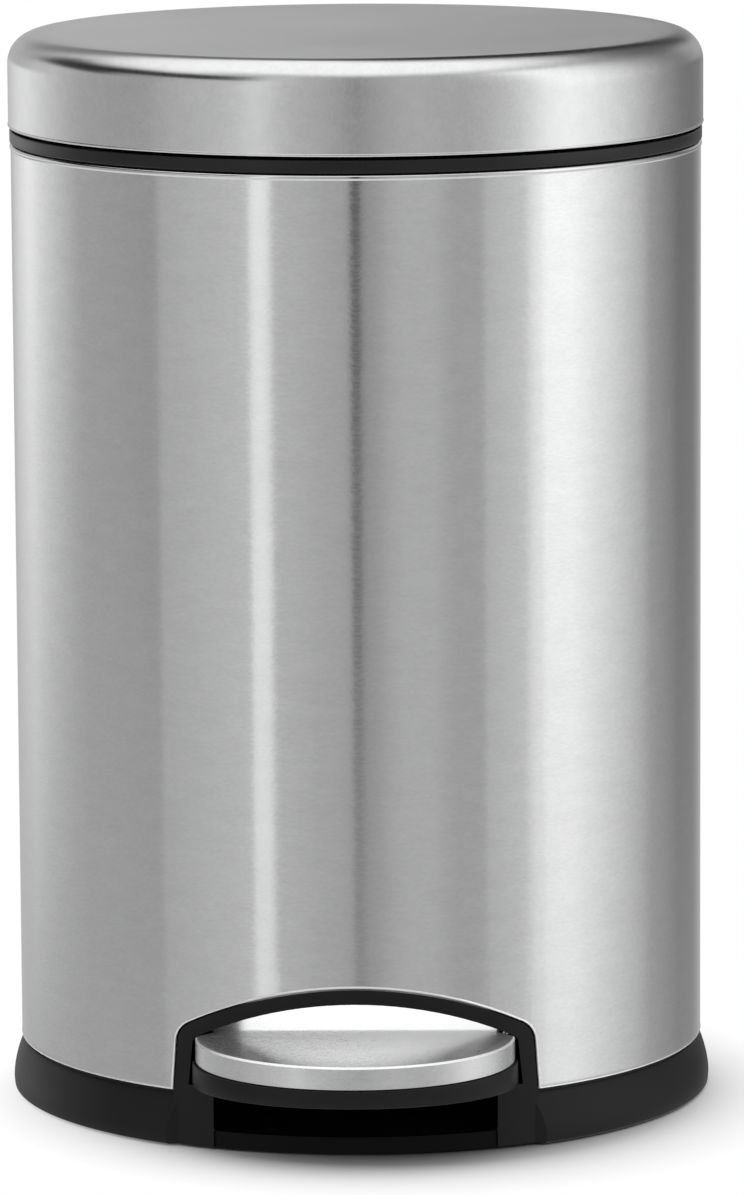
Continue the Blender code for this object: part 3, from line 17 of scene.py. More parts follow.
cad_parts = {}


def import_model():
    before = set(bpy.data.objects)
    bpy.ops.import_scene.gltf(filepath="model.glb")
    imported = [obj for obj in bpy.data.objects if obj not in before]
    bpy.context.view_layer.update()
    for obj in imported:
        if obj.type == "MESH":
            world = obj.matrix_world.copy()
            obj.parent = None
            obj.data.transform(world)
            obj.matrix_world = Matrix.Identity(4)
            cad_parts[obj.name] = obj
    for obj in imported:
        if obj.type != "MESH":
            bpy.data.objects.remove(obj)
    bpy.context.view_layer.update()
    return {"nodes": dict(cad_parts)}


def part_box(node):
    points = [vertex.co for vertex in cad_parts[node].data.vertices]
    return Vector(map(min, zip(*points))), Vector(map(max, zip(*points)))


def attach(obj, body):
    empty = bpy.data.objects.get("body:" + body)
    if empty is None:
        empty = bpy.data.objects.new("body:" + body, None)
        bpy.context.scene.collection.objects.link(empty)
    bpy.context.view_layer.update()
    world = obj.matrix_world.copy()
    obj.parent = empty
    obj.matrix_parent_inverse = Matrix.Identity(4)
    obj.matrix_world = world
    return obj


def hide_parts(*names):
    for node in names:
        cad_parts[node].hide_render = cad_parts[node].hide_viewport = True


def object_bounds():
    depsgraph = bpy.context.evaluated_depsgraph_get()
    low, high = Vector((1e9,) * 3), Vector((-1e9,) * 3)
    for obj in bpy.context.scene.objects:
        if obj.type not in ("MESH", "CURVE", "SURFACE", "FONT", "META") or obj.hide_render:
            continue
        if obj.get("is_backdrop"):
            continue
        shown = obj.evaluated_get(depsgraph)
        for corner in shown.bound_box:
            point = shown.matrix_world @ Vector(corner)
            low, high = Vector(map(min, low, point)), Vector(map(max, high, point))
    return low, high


LOG = logging.getLogger("pedal_bin")

Point2 = tuple[float, float]
Point3 = tuple[float, float, float]
Shape = bpy.types.Object
Socket = bpy.types.NodeSocket

# The body's axis, the sheet and the gap between pieces
AXIS_Y = 0.00845
STEEL = 0.0006
GAP = 0.0003

# The lid's hinge and the pedal's pivot, as (y, z)
HINGE: Point2 = (AXIS_Y + 0.0980, 0.2620)
PIVOT: Point2 = (AXIS_Y - 0.0260, 0.0180)

# Modelling: the first vertex's plane, points that are one, lengths that are equal, and how far
# a tool reaches past what it cuts
SEED = 0.001
MERGE = 0.000002
SAME = 0.00001
OVERRUN = 0.003
SMOOTH_ANGLE = math.radians(32)

# Faces in one turn: of the outside, the inside, the tread, a hinge knuckle, an eye or ring,
# a bar and a small turned part
OUTER_STEPS = 240
INNER_STEPS = 160
TREAD_STEPS = 200
KNUCKLE_STEPS = 48
EYE_STEPS = 40
BAR_STEPS = 32
TURNED_STEPS = 28

# Where the lid's turned grain sets in, counted from its axis, and a bearing past every other
LID_SWEEP: Point2 = (0.080, 0.088)
ALL_ROUND = 400.0


class Body(Enum):
    """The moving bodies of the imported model."""

    BIN = "bin"
    LID = "lid"
    PEDAL = "pedal"
    LIFT_ROD = "lift_rod"
    DAMPER_ROD = "damper_rod"
    BUCKET = "bucket"
    BAIL = "bail"


class Slot(Enum):
    """The record's material slots."""

    STEEL = "brushed_steel"
    BLACK = "black_plastic"
    BUCKET = "bucket_plastic"
    RUBBER = "rubber"
    PLATED = "plated_steel"


class Grain(Enum):
    """How often the brush lines repeat along X, Y and Z, per metre."""

    ROUND = (620.0, 620.0, 1500.0)
    EVEN = (1300.0, 1300.0, 1300.0)
    SIDEWAYS = (420.0, 1500.0, 1500.0)


# Modelling steps


def deselect() -> None:
    """Leaves edit mode and clears the selection."""
    active = bpy.context.view_layer.objects.active
    if active is not None and active.mode != "OBJECT":
        bpy.ops.object.mode_set(mode="OBJECT")
    bpy.ops.object.select_all(action="DESELECT")


def focus(thing: Shape) -> None:
    """Selects one object alone and makes it the active one.

    Args:
        thing: the object.
    """
    deselect()
    thing.select_set(True)
    bpy.context.view_layer.objects.active = thing


def chain(name: str, points: Sequence[Point3], closed: bool = False) -> Shape:
    """Extrudes one vertex through a row of points and stays in edit mode.

    Args:
        name: name of the new object.
        points: the places that the vertex passes.
        closed: whether the last point joins the first.

    Returns:
        The object, with its edges selected.
    """
    deselect()
    bpy.ops.mesh.primitive_plane_add(size=SEED, location=(0, 0, 0))
    thing = bpy.context.object
    thing.name = name
    bpy.ops.object.mode_set(mode="EDIT")
    bpy.ops.mesh.merge(type="CENTER")
    bpy.ops.transform.translate(value=points[0])
    here = Vector(points[0])
    for point in list(points[1:]) + ([points[0]] if closed else []):
        step = Vector(point) - here
        bpy.ops.mesh.extrude_region_move(TRANSFORM_OT_translate={"value": step})
        here = Vector(point)
    bpy.ops.mesh.select_all(action="SELECT")
    bpy.ops.mesh.remove_doubles(threshold=MERGE)
    return thing


def face_out() -> None:
    """Merges doubles in edit mode, points the faces outwards and goes back to object mode."""
    bpy.ops.mesh.select_all(action="SELECT")
    bpy.ops.mesh.remove_doubles(threshold=MERGE)
    bpy.ops.mesh.normals_make_consistent(inside=False)
    bpy.ops.object.mode_set(mode="OBJECT")


def lathe(
    name: str,
    profile: Sequence[Point2],
    centre_y: float = AXIS_Y,
    steps: int = INNER_STEPS,
    closed: bool = True,
) -> Shape:
    """Spins a profile of (radius, z) points round an upright axis.

    Args:
        name: name of the new object.
        profile: the points of the section.
        centre_y: where the axis stands.
        steps: faces in one turn.
        closed: whether the section is a closed line; an open one starts and ends on the axis.

    Returns:
        The turned object.
    """
    thing = chain(name, [(radius, centre_y, z) for radius, z in profile], closed)
    bpy.ops.mesh.spin(steps=steps, angle=math.tau, center=(0, centre_y, 0), axis=(0, 0, 1))
    face_out()
    return thing


def slab(name: str, outline: Sequence[Point3], push: Point3) -> Shape:
    """Fills a closed flat outline and extrudes it.

    Args:
        name: name of the new object.
        outline: the corners of the flat shape.
        push: the extrusion.

    Returns:
        The solid object.
    """
    thing = chain(name, outline, closed=True)
    bpy.ops.mesh.edge_face_add()
    bpy.ops.mesh.extrude_region_move(TRANSFORM_OT_translate={"value": push})
    face_out()
    return thing


def front_slab(name: str, outline: Sequence[Point2], near: float, far: float) -> Shape:
    """A solid with an (x, z) outline between two places along Y."""
    return slab(name, [(x, near, z) for x, z in outline], (0, far - near, 0))


def side_slab(name: str, outline: Sequence[Point2], low: float, high: float) -> Shape:
    """A solid with a (y, z) outline between two places along X."""
    return slab(name, [(low, y, z) for y, z in outline], (high - low, 0, 0))


def plan_slab(name: str, outline: Sequence[Point2], low: float, high: float) -> Shape:
    """A solid with an (x, y) outline between two heights."""
    return slab(name, [(x, y, low) for x, y in outline], (0, 0, high - low))


def block(name: str, low: Point3, high: Point3) -> Shape:
    """A box between two corners, its place in its mesh.

    Args:
        name: name of the new object.
        low: the corner with the lowest X, Y and Z.
        high: the corner opposite.

    Returns:
        The box.
    """
    deselect()
    bpy.ops.mesh.primitive_cube_add(size=1, location=(Vector(low) + Vector(high)) / 2)
    thing = bpy.context.object
    thing.name = name
    thing.scale = Vector(high) - Vector(low)
    bpy.ops.object.transform_apply(location=True, rotation=True, scale=True)
    return thing


def rod(
    name: str, radius: float, start: Point3, end: Point3, steps: int = BAR_STEPS
) -> Shape:
    """A round bar between two points, its place in its mesh.

    Args:
        name: name of the new object.
        radius: half its thickness.
        start: the middle of one end.
        end: the middle of the other end.
        steps: faces round it.

    Returns:
        The bar.
    """
    deselect()
    run = Vector(end) - Vector(start)
    middle = (Vector(start) + Vector(end)) / 2
    bpy.ops.mesh.primitive_cylinder_add(
        vertices=steps, radius=radius, depth=run.length, location=middle
    )
    thing = bpy.context.object
    thing.name = name
    thing.rotation_euler = run.to_track_quat("Z", "Y").to_euler()
    bpy.ops.object.transform_apply(location=True, rotation=True, scale=True)
    return thing


def bar(
    name: str, radius: float, spot: Point2, low: float, high: float, steps: int = BAR_STEPS
) -> Shape:
    """A round bar along X at a (y, z) place."""
    return rod(name, radius, (low, *spot), (high, *spot), steps)


def wire(name: str, points: Sequence[Point3], radius: float, sides: int = 8) -> Shape:
    """A round wire along a row of points, as a closed mesh.

    Args:
        name: name of the new object.
        points: the places along its middle.
        radius: half its thickness.
        sides: how finely it is rounded.

    Returns:
        The wire.
    """
    thing = chain(name, points)
    bpy.ops.object.mode_set(mode="OBJECT")
    focus(thing)
    bpy.ops.object.convert(target="CURVE")
    thing.data.bevel_depth = radius
    thing.data.bevel_resolution = sides
    thing.data.use_fill_caps = True
    bpy.ops.object.convert(target="MESH")
    bpy.ops.object.mode_set(mode="EDIT")
    face_out()
    return thing


def modify(thing: Shape, kind: str, **settings: object) -> Shape:
    """Adds a modifier of a kind with its settings and applies it.

    Args:
        thing: the piece.
        kind: the modifier's type.
        settings: its own properties.

    Returns:
        The same piece.
    """
    focus(thing)
    bpy.ops.object.modifier_add(type=kind)
    step = thing.modifiers[-1]
    for key, value in settings.items():
        setattr(step, key, value)
    bpy.ops.object.modifier_apply(modifier=step.name)
    return thing


def boolean(thing: Shape, other: Shape, operation: str) -> Shape:
    """Applies a Boolean with another object, which is used up.

    Args:
        thing: the piece.
        other: the other object.
        operation: the Boolean's kind.

    Returns:
        The same piece.
    """
    modify(thing, "BOOLEAN", operation=operation, solver="EXACT", object=other)
    bpy.data.objects.remove(other, do_unlink=True)
    return thing


def cut(thing: Shape, *tools: Shape) -> Shape:
    """Takes tools away from a piece.

    Args:
        thing: the piece.
        tools: the solids that are taken away, in order.

    Returns:
        The same piece.
    """
    for tool in tools:
        boolean(thing, tool, "DIFFERENCE")
    return thing


def join(thing: Shape, *others: Shape) -> Shape:
    """Adds other solids to a piece.

    Args:
        thing: the piece.
        others: the solids that are added, in order.

    Returns:
        The same piece.
    """
    for other in others:
        boolean(thing, other, "UNION")
    return thing


def keep(thing: Shape, other: Shape) -> Shape:
    """Keeps what of a piece lies inside another solid."""
    return boolean(thing, other, "INTERSECT")


def soften(thing: Shape, width: float, segments: int = 2, angle: float = 40) -> Shape:
    """Rounds the edges of a piece that turn by more than an angle in degrees."""
    limit = {"limit_method": "ANGLE", "angle_limit": math.radians(angle)}
    return modify(thing, "BEVEL", width=width, segments=segments, harden_normals=False, **limit)


def round_edges(
    thing: Shape, rule: Callable[[Vector, Vector], bool], width: float, segments: int = 3
) -> Shape:
    """Bevels the edges that a rule picks by the places of their two ends.

    Args:
        thing: the piece.
        rule: says of an edge's two ends whether it is rounded.
        width: width of the bevel.
        segments: faces across it.

    Returns:
        The same piece.
    """
    focus(thing)
    bpy.ops.object.mode_set(mode="EDIT")
    bpy.ops.mesh.select_all(action="DESELECT")
    bpy.ops.mesh.select_mode(type="EDGE")
    mesh = bmesh.from_edit_mesh(thing.data)
    for edge in mesh.edges:
        edge.select_set(rule(edge.verts[0].co, edge.verts[1].co))
    mesh.select_flush_mode()
    bmesh.update_edit_mesh(thing.data)
    bpy.ops.mesh.bevel(offset=width, segments=segments, clamp_overlap=True)
    bpy.ops.mesh.select_mode(type="VERT")
    face_out()
    return thing


def arc(centre: Point2, radius: float, start: float, end: float, steps: int) -> list[Point2]:
    """Points on an arc, with its angles in degrees."""
    angles = [math.radians(start + (end - start) * step / steps) for step in range(steps + 1)]
    return [(centre[0] + radius * math.cos(a), centre[1] + radius * math.sin(a)) for a in angles]


def rounded(corners: Sequence[tuple[float, float, float]], steps: int = 6) -> list[Point2]:
    """Turns (a, b, radius) corners of a closed outline into points with round corners.

    Args:
        corners: the corners in order, with 0 for a sharp one.
        steps: pieces of each round.

    Returns:
        The points of the outline.
    """
    points: list[Point2] = []
    for index, (a, b, radius) in enumerate(corners):
        here = Vector((a, b))
        if radius == 0:
            points.append((a, b))
            continue
        back = Vector(corners[index - 1][:2]) - here
        ahead = Vector(corners[(index + 1) % len(corners)][:2]) - here
        half = back.angle(ahead) / 2
        reach = min(radius / math.tan(half), back.length, ahead.length)
        first = here + back.normalized() * reach
        last = here + ahead.normalized() * reach
        centre = here + (back.normalized() + ahead.normalized()).normalized() * (
            math.hypot(reach, reach * math.tan(half))
        )
        for step in range(steps + 1):
            share = step / steps
            spoke = (first - centre).slerp(last - centre, share).normalized()
            points.append(tuple(centre + spoke * (first - centre).length))
    return points


def mirrored(outline: Iterable[Point2]) -> list[Point2]:
    """The outline followed by its mirror image across the first axis."""
    half = list(outline)
    return half + [(-a, b) for a, b in reversed(half)]


class Along(Enum):
    """The turns that lay a turned piece's axis along X, Y or Z."""

    X = (0.0, math.pi / 2, 0.0)
    Y = (-math.pi / 2, 0.0, 0.0)
    UP = (0.0, 0.0, 0.0)
    DOWN = (math.pi, 0.0, 0.0)


def place(thing: Shape, start: Point3, along: Along) -> Shape:
    """Moves a piece turned at the origin to its start and lays it along an axis.

    Args:
        thing: the piece, turned round the Z axis from the origin.
        start: where the origin goes.
        along: the turn.

    Returns:
        The same piece.
    """
    focus(thing)
    thing.rotation_euler = along.value
    thing.location = start
    bpy.ops.object.transform_apply(location=True, rotation=True, scale=True)
    return thing


def turned(
    name: str,
    profile: Sequence[Point2],
    start: Point3,
    along: Along = Along.UP,
    steps: int = TURNED_STEPS,
) -> Shape:
    """Turns an open profile and lays its axis from a start along X, Y or Z."""
    return place(lathe(name, profile, 0.0, steps, closed=False), start, along)


def middle_of(node: str) -> Vector:
    """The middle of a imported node's box."""
    low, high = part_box(node)
    return (Vector(low) + Vector(high)) / 2


# Finishes


class Graph:
    """A node tree while it is put together."""

    def __init__(self, tree: bpy.types.NodeTree) -> None:
        """Takes the tree that the nodes go into."""
        self.tree = tree

    def feed(self, target: Socket, value: object) -> None:
        """Links a socket to an input, or sets the input to a plain value.

        Args:
            target: the input.
            value: a socket or a plain value.
        """
        if isinstance(value, Socket):
            self.tree.links.new(value, target)
        else:
            target.default_value = value

    def put(
        self,
        kind: str,
        output: str,
        inputs: dict[str | int, object] | None = None,
        **settings: object,
    ) -> Socket:
        """Adds a shader node.

        Args:
            kind: the node's type, without the words in front that all types share.
            output: the output that is wanted.
            inputs: sockets or values for its inputs, by name or number.
            settings: its own properties, which are set first.

        Returns:
            The output.
        """
        node = self.tree.nodes.new("ShaderNode" + kind)
        for key, value in settings.items():
            setattr(node, key, value)
        for key, value in (inputs or {}).items():
            self.feed(node.inputs[key], value)
        return node.outputs[output]

    def maths(self, operation: str, *values: object, use_clamp: bool = False) -> Socket:
        """A Math node on sockets or numbers."""
        inputs = dict(enumerate(values))
        return self.put("Math", "Value", inputs, operation=operation, use_clamp=use_clamp)

    def spread(
        self, source: Socket, low: float, high: float, start: float = 0.3, end: float = 0.7
    ) -> Socket:
        """Maps a range, which is the middle of a noise if none is given, to another."""
        inputs = {"Value": source, "From Min": start, "From Max": end}
        return self.put("MapRange", "Result", inputs | {"To Min": low, "To Max": high})

    def choose(self, factor: Socket, without: Socket, fully: Socket) -> Socket:
        """Mixes two shaders by a factor."""
        return self.put("MixShader", "Shader", {"Fac": factor, 1: without, 2: fully})


class Recipe(Graph):
    """A material while it is put together."""

    def __init__(self, name: str) -> None:
        """Starts a material with the usual shader.

        Args:
            name: the material's name.
        """
        self.material = bpy.data.materials.new(name)
        self.material.use_nodes = True
        super().__init__(self.material.node_tree)
        self.shader = self.tree.nodes["Principled BSDF"]

    def shade(self, **inputs: object) -> None:
        """Feeds the shader's inputs, with underscores for the spaces in their names."""
        for key, value in inputs.items():
            self.feed(self.shader.inputs[key.replace("_", " ")], value)

    def noise(self, scale: float | Point3, detail: float, roughness: float = 0.5) -> Socket:
        """A noise in the piece's own coordinates.

        Args:
            scale: how often it repeats per metre, in all directions or each.
            detail: how many finer layers it has.
            roughness: how strong the finer layers are.

        Returns:
            The noise, about 0.5.
        """
        scales = scale if isinstance(scale, tuple) else (scale, scale, scale)
        place = self.put("TexCoord", "Object")
        spot = self.put("Mapping", "Vector", {"Vector": place, "Scale": scales})
        inputs = {"Vector": spot, "Scale": 1, "Detail": detail, "Roughness": roughness}
        return self.put("TexNoise", "Fac", inputs)

    def tint(self, factor: Socket, dark: Sequence[float], light: Sequence[float]) -> Socket:
        """Mixes two colours by a factor."""
        inputs = {"Factor": factor, "A": (*dark, 1), "B": (*light, 1)}
        return self.put("Mix", "Result", inputs, data_type="RGBA")

    def round_axis(self) -> tuple[Socket, Socket]:
        """The direction round the bin's axis, in world space, and the distance from it.

        Returns:
            The direction and the distance.
        """
        place = self.put("TexCoord", "Object")
        axis = (0, AXIS_Y, 0)
        spoke = self.put("VectorMath", "Vector", {0: place, 1: axis}, operation="SUBTRACT")
        ends = {0: spoke, 1: (0, 0, 1)}
        cross = self.put("VectorMath", "Vector", ends, operation="CROSS_PRODUCT")
        spaces = {"vector_type": "VECTOR", "convert_from": "OBJECT", "convert_to": "WORLD"}
        turn = self.put("VectorTransform", "Vector", {"Vector": cross}, **spaces)
        return turn, self.put("VectorMath", "Value", {0: cross}, operation="LENGTH")

    def bump(self, height: Socket, strength: float, depth: float) -> Socket:
        """A bump from a height."""
        inputs = {"Height": height, "Strength": strength, "Distance": depth}
        return self.put("Bump", "Normal", inputs)


@dataclass(frozen=True)
class BrushedSteel:
    """Stainless sheet with fine brush lines."""

    name: str
    grain: Grain = Grain.ROUND
    dark: Point3 = (0.585, 0.587, 0.592)
    light: Point3 = (0.655, 0.657, 0.66)
    smooth: float = 0.09
    rough: float = 0.145
    depth: float = 0.00002
    relief: float = 0.55
    metal: float = 1.0
    sweep: float = 0.0
    fine_share: float = 0.6
    broad_scale: float = 0.18
    cloud_scale: float = 9.0
    cloud_dip: float = 0.02
    slot: Slot = Slot.STEEL

    def material(self) -> bpy.types.Material:
        """Fine lines over broader ones, in colour, roughness and height.

        Returns:
            The material.
        """
        recipe = Recipe(self.name)
        across = self.grain.value
        fine = recipe.noise(across, 3.0, 0.6)
        broad = recipe.noise(tuple(value * self.broad_scale for value in across), 2.0)
        cloud = recipe.noise(self.cloud_scale, 2.0)
        lines = recipe.spread(fine, 0.0, self.fine_share)
        bands = recipe.spread(broad, 0.0, 1 - self.fine_share)
        blend = recipe.maths("ADD", lines, bands, use_clamp=True)
        middle = (self.smooth + self.rough) / 2
        worn = recipe.spread(fine, self.smooth, middle)
        handled = recipe.spread(cloud, -self.cloud_dip, self.rough - middle)
        recipe.shade(
            Base_Color=recipe.tint(blend, self.dark, self.light),
            Roughness=recipe.maths("ADD", worn, handled),
            Normal=recipe.bump(fine, self.relief, self.depth),
            Metallic=self.metal,
        )
        if self.sweep > 0:
            along, away = recipe.round_axis()
            sweep = recipe.spread(away, 0.0, self.sweep, *LID_SWEEP)
            recipe.shade(Tangent=along, Anisotropic=sweep)
        return recipe.material


@dataclass(frozen=True)
class Moulded:
    """Moulded plastic with a fine matt skin."""

    name: str
    dark: Point3 = (0.0075, 0.0075, 0.0083)
    light: Point3 = (0.0100, 0.0100, 0.0109)
    rough: float = 0.42
    gloss: float = 0.16
    depth: float = 0.00004
    relief: float = 0.22
    grain_scale: float = 2600.0
    cloud_scale: float = 26.0
    clouds: Point2 = (-0.05, 0.06)
    slot: Slot = Slot.BLACK

    def material(self) -> bpy.types.Material:
        """Grain in height, with soft clouds in colour and gloss.

        Returns:
            The material.
        """
        recipe = Recipe(self.name)
        grain = recipe.noise(self.grain_scale, 2.0)
        cloud = recipe.noise(self.cloud_scale, 3.0)
        low, high = (self.rough + value for value in self.clouds)
        recipe.shade(
            Base_Color=recipe.tint(recipe.spread(cloud, 0.0, 1.0), self.dark, self.light),
            Roughness=recipe.spread(cloud, low, high),
            Normal=recipe.bump(grain, self.relief, self.depth),
            Specular_IOR_Level=self.gloss,
        )
        return recipe.material


@dataclass(frozen=True)
class Plated:
    """Zinc-plated small parts, bright with faint drawing lines."""

    name: str
    colour: Point3 = (0.62, 0.63, 0.645)
    shade: float = 0.86
    rough: float = 0.24
    depth: float = 0.00002
    relief: float = 0.1
    grain_scale: float = 1800.0
    cloud_scale: float = 160.0
    clouds: Point2 = (-0.06, 0.1)
    slot: Slot = Slot.PLATED

    def material(self) -> bpy.types.Material:
        """Clouded plating with a fine unevenness.

        Returns:
            The material.
        """
        recipe = Recipe(self.name)
        cloud = recipe.noise(self.cloud_scale, 3.0)
        fine = recipe.noise(self.grain_scale, 2.0)
        dull = tuple(value * self.shade for value in self.colour)
        low, high = (self.rough + value for value in self.clouds)
        recipe.shade(
            Base_Color=recipe.tint(recipe.spread(cloud, 0.0, 1.0), dull, self.colour),
            Roughness=recipe.spread(cloud, low, high),
            Normal=recipe.bump(fine, self.relief, self.depth),
            Metallic=1.0,
        )
        return recipe.material


@dataclass(frozen=True)
class Finish:
    """A material with the record's slot that it fills."""

    material: bpy.types.Material
    slot: Slot


def made(look: BrushedSteel | Moulded | Plated) -> Finish:
    """Makes the material of a look."""
    return Finish(look.material(), look.slot)


class Finishes:
    """Every finish of the bin, made once."""

    def __init__(self) -> None:
        """Makes the materials."""
        satin = {"smooth": 0.20, "rough": 0.26, "relief": 0.3, "sweep": 0.60}
        worn = {"smooth": 0.24, "rough": 0.33, "relief": 0.4, "metal": 0.88}
        # The edge steel is far lighter than the sheet: a painted highlight on the hems and the
        # pedal's rim, with a real rougher gloss
        bright = {"dark": (0.86, 0.86, 0.87), "light": (0.95, 0.95, 0.95)}
        # The sill black is darker than the moulding: painted shade in the recess under the pedal,
        # with a real lower gloss
        matt = {"dark": (0.005, 0.005, 0.0056), "light": (0.006, 0.006, 0.0066), "gloss": 0.06}
        grey = {"dark": (0.020, 0.020, 0.021), "light": (0.028, 0.028, 0.030), "rough": 0.5}
        soft = {"dark": (0.010, 0.010, 0.010), "light": (0.016, 0.016, 0.016), "rough": 0.78}
        self.sleeve = made(BrushedSteel("sleeve_brushed_steel"))
        self.lid = made(BrushedSteel("lid_brushed_steel", Grain.EVEN, **satin))
        self.tread = made(BrushedSteel("pedal_brushed_steel", Grain.SIDEWAYS, **worn))
        self.edge = made(
            BrushedSteel("steel_edge_painted_highlight", Grain.EVEN, smooth=0.42, rough=0.52, **bright)
        )
        self.black = made(Moulded("black_moulding"))
        self.rim = made(Moulded("rim_moulding", rough=0.30, gloss=0.26))
        self.sill = made(Moulded("matt_sill_painted_shade", **matt))
        self.bucket = made(Moulded("bucket_moulding", slot=Slot.BUCKET, **grey))
        self.rubber = made(
            Moulded("soft_rubber", gloss=0.25, depth=0.0001, slot=Slot.RUBBER, **soft)
        )
        self.plated = made(Plated("zinc_plating"))


def dress(thing: Shape, finish: Finish, body: Body, *nodes: str) -> None:
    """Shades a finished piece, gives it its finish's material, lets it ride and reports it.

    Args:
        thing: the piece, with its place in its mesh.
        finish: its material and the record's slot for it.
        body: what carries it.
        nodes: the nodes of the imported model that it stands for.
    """
    focus(thing)
    bpy.ops.object.shade_smooth_by_angle(angle=SMOOTH_ANGLE)
    thing.data.materials.clear()
    thing.data.materials.append(finish.material)
    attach(thing, body.value)
    if nodes:
        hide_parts(*nodes)
    deselect()
    LOG.info("%s: %d faces", thing.name, len(thing.data.polygons))


# The arch, which the sleeve and the base share


@dataclass
class Arch:
    """The opening round the pedal, seen from the front."""

    foot: float = 0.0483
    half: float = 0.0470
    top: float = 0.0448
    radius: float = 0.093
    corner: float = 0.006
    band: float = 0.0039
    sill: float = 0.0150
    steps: int = 24

    def outline(self, grow: float, bottom: float) -> list[Point2]:
        """The (x, z) outline, larger by grow on every side, down to a height.

        Args:
            grow: how far outside the arch the outline runs.
            bottom: the height of its open end.

        Returns:
            The points, from +X to -X.
        """
        half = self.half + grow
        foot = self.foot + grow
        radius = self.radius + grow
        middle = self.top + grow - radius
        corner_z = middle + math.sqrt(radius**2 - half**2)
        points = [(foot, bottom, 0), (foot, self.sill, 0), (half, corner_z, self.corner + grow)]
        for step in range(1, self.steps):
            across = half * (1 - 2 * step / self.steps)
            points.append((across, middle + math.sqrt(radius**2 - across**2), 0))
        points += [(-half, corner_z, self.corner + grow), (-foot, self.sill, 0)]
        points.append((-foot, bottom, 0))
        return rounded(points)


# Sub-assemblies


@dataclass
class Sleeve:
    """The steel body: a rolled tube with the arch cut from its foot."""

    finishes: Finishes
    arch: Arch
    radius: float = 0.0935
    low: float = 0.0150
    high: float = 0.2604
    bead: float = 0.0009
    proud: float = 0.0003
    edge: float = 0.0003
    hem: float = 0.00034
    foot_hem_radius: float = 0.00022
    seam_half: float = 0.0004
    seam_depth: float = 0.00018
    tool_reach: float = 0.1
    front_share: float = 0.8
    rows: int = 6
    hem_steps: int = 200

    def build(self) -> None:
        """Turns the tube with its beaded top, cuts the arch and the seam and rounds the edges."""
        inner = self.radius - STEEL
        middle = self.radius + self.proud - self.bead
        turn = math.degrees(math.acos((self.radius - middle) / self.bead))
        lip = arc((middle, self.high - self.bead), self.bead, -turn, 90, 12)
        foot = arc((inner + STEEL / 2, self.low + STEEL / 2), STEEL / 2, 180, 360, 6)
        tube = lathe("body_shell_sheet", foot + self.wall() + lip, steps=OUTER_STEPS)
        outline = self.arch.outline(GAP, self.low - OVERRUN)
        reach = (AXIS_Y - self.tool_reach, AXIS_Y - self.radius / 2)
        cut(tube, front_slab("arch_tool", outline, *reach))
        back = AXIS_Y + self.radius
        seam = block(
            "seam_tool",
            (-self.seam_half, back - self.seam_depth, self.low - OVERRUN),
            (self.seam_half, back + OVERRUN, self.high + OVERRUN),
        )
        cut(tube, seam)
        front = AXIS_Y - self.radius * self.front_share

        def on_arch(first: Vector, last: Vector) -> bool:
            """Whether an edge lies on the arch's cut, at the sheet's outer face.

            Args:
                first: one end of the edge.
                last: the other end.

            Returns:
                True if it does.
            """
            outer = self.radius - STEEL / 4
            for spot in (first, last):
                away = math.hypot(spot.x, spot.y - AXIS_Y)
                low_enough = self.low + STEEL < spot.z < self.arch.top + 2 * STEEL
                if away < outer or spot.y > front or not low_enough:
                    return False
            return True

        round_edges(tube, on_arch, self.edge)
        dress(tube, self.finishes.sleeve, Body.BIN, "body_shell")
        self.arch_hem()
        self.foot_hem()

    def arch_hem(self) -> None:
        """The curled edge of the sheet round the arch, lighter in colour: a painted highlight."""
        grow = GAP + self.hem
        start = self.low + self.hem
        foot = (self.arch.foot + grow, start)
        line = [spot for spot in self.arch.outline(grow, 0) if spot[1] > start + GAP]
        middle = self.radius + self.hem / 3
        points = [
            (x, AXIS_Y - math.sqrt(middle**2 - x**2), z)
            for x, z in [foot, *line, (-foot[0], start)]
        ]
        hem = wire("body_shell_arch_hem", points, self.hem, sides=3)
        # The edge steel's lighter colour is a painted highlight
        dress(hem, self.finishes.edge, Body.BIN)

    def foot_hem(self) -> None:
        """The rounded lower edge of the sheet, from one end of the arch to the other, lighter in
        colour: a painted highlight.
        """
        start = math.degrees(math.asin((self.arch.foot + GAP + self.hem) / self.radius))
        out = self.radius - self.foot_hem_radius / 2
        line = arc((0, AXIS_Y), out, -90 - start, start - 450, self.hem_steps)
        height = self.low + self.foot_hem_radius
        points = [(x, y, height) for x, y in line]
        hem = wire("body_shell_foot_hem", points, self.foot_hem_radius, sides=4)
        # The edge steel's lighter colour is a painted highlight
        dress(hem, self.finishes.edge, Body.BIN)

    def wall(self) -> list[Point2]:
        """Rows of the wall, which keep its shading upright up to the rounded edges.

        Returns:
            The points, from the lowest up.
        """
        low = self.low + 2 * STEEL
        run = self.high - 2 * self.bead - STEEL - low
        return [(self.radius, low + run * row / self.rows) for row in range(self.rows + 1)]


@dataclass
class Lid:
    """The steel cap of the lid."""

    finishes: Finishes
    radius: float = 0.0941
    low: float = 0.265
    high: float = 0.290
    corner: float = 0.008
    curl: float = 0.00045
    crown_shares: Point3 = (0.0, 0.5, 0.97)

    def build(self) -> None:
        """Turns the pressed cap with its curled lower edge."""
        edge = self.radius - self.corner
        shoulder = self.high - self.corner
        outer = arc((edge, shoulder), self.corner, 90, 0, 14)
        inner = arc((edge, shoulder), self.corner - STEEL, 0, 90, 10)
        turn = math.degrees(math.acos(STEEL / 2 / self.curl))
        middle = (self.radius - STEEL / 2, self.low + self.curl)
        hem = arc(middle, self.curl, turn, -180 - turn, 14)
        crown = [(edge * share, self.high) for share in self.crown_shares]
        outer += [(self.radius, shoulder - 2 * STEEL), (self.radius, self.low + 3 * STEEL)]
        profile = crown + outer + hem + inner + [(0, self.high - STEEL)]
        cap = lathe("lid_shell_sheet", profile, steps=OUTER_STEPS, closed=False)
        dress(cap, self.finishes.lid, Body.LID, "lid_shell")


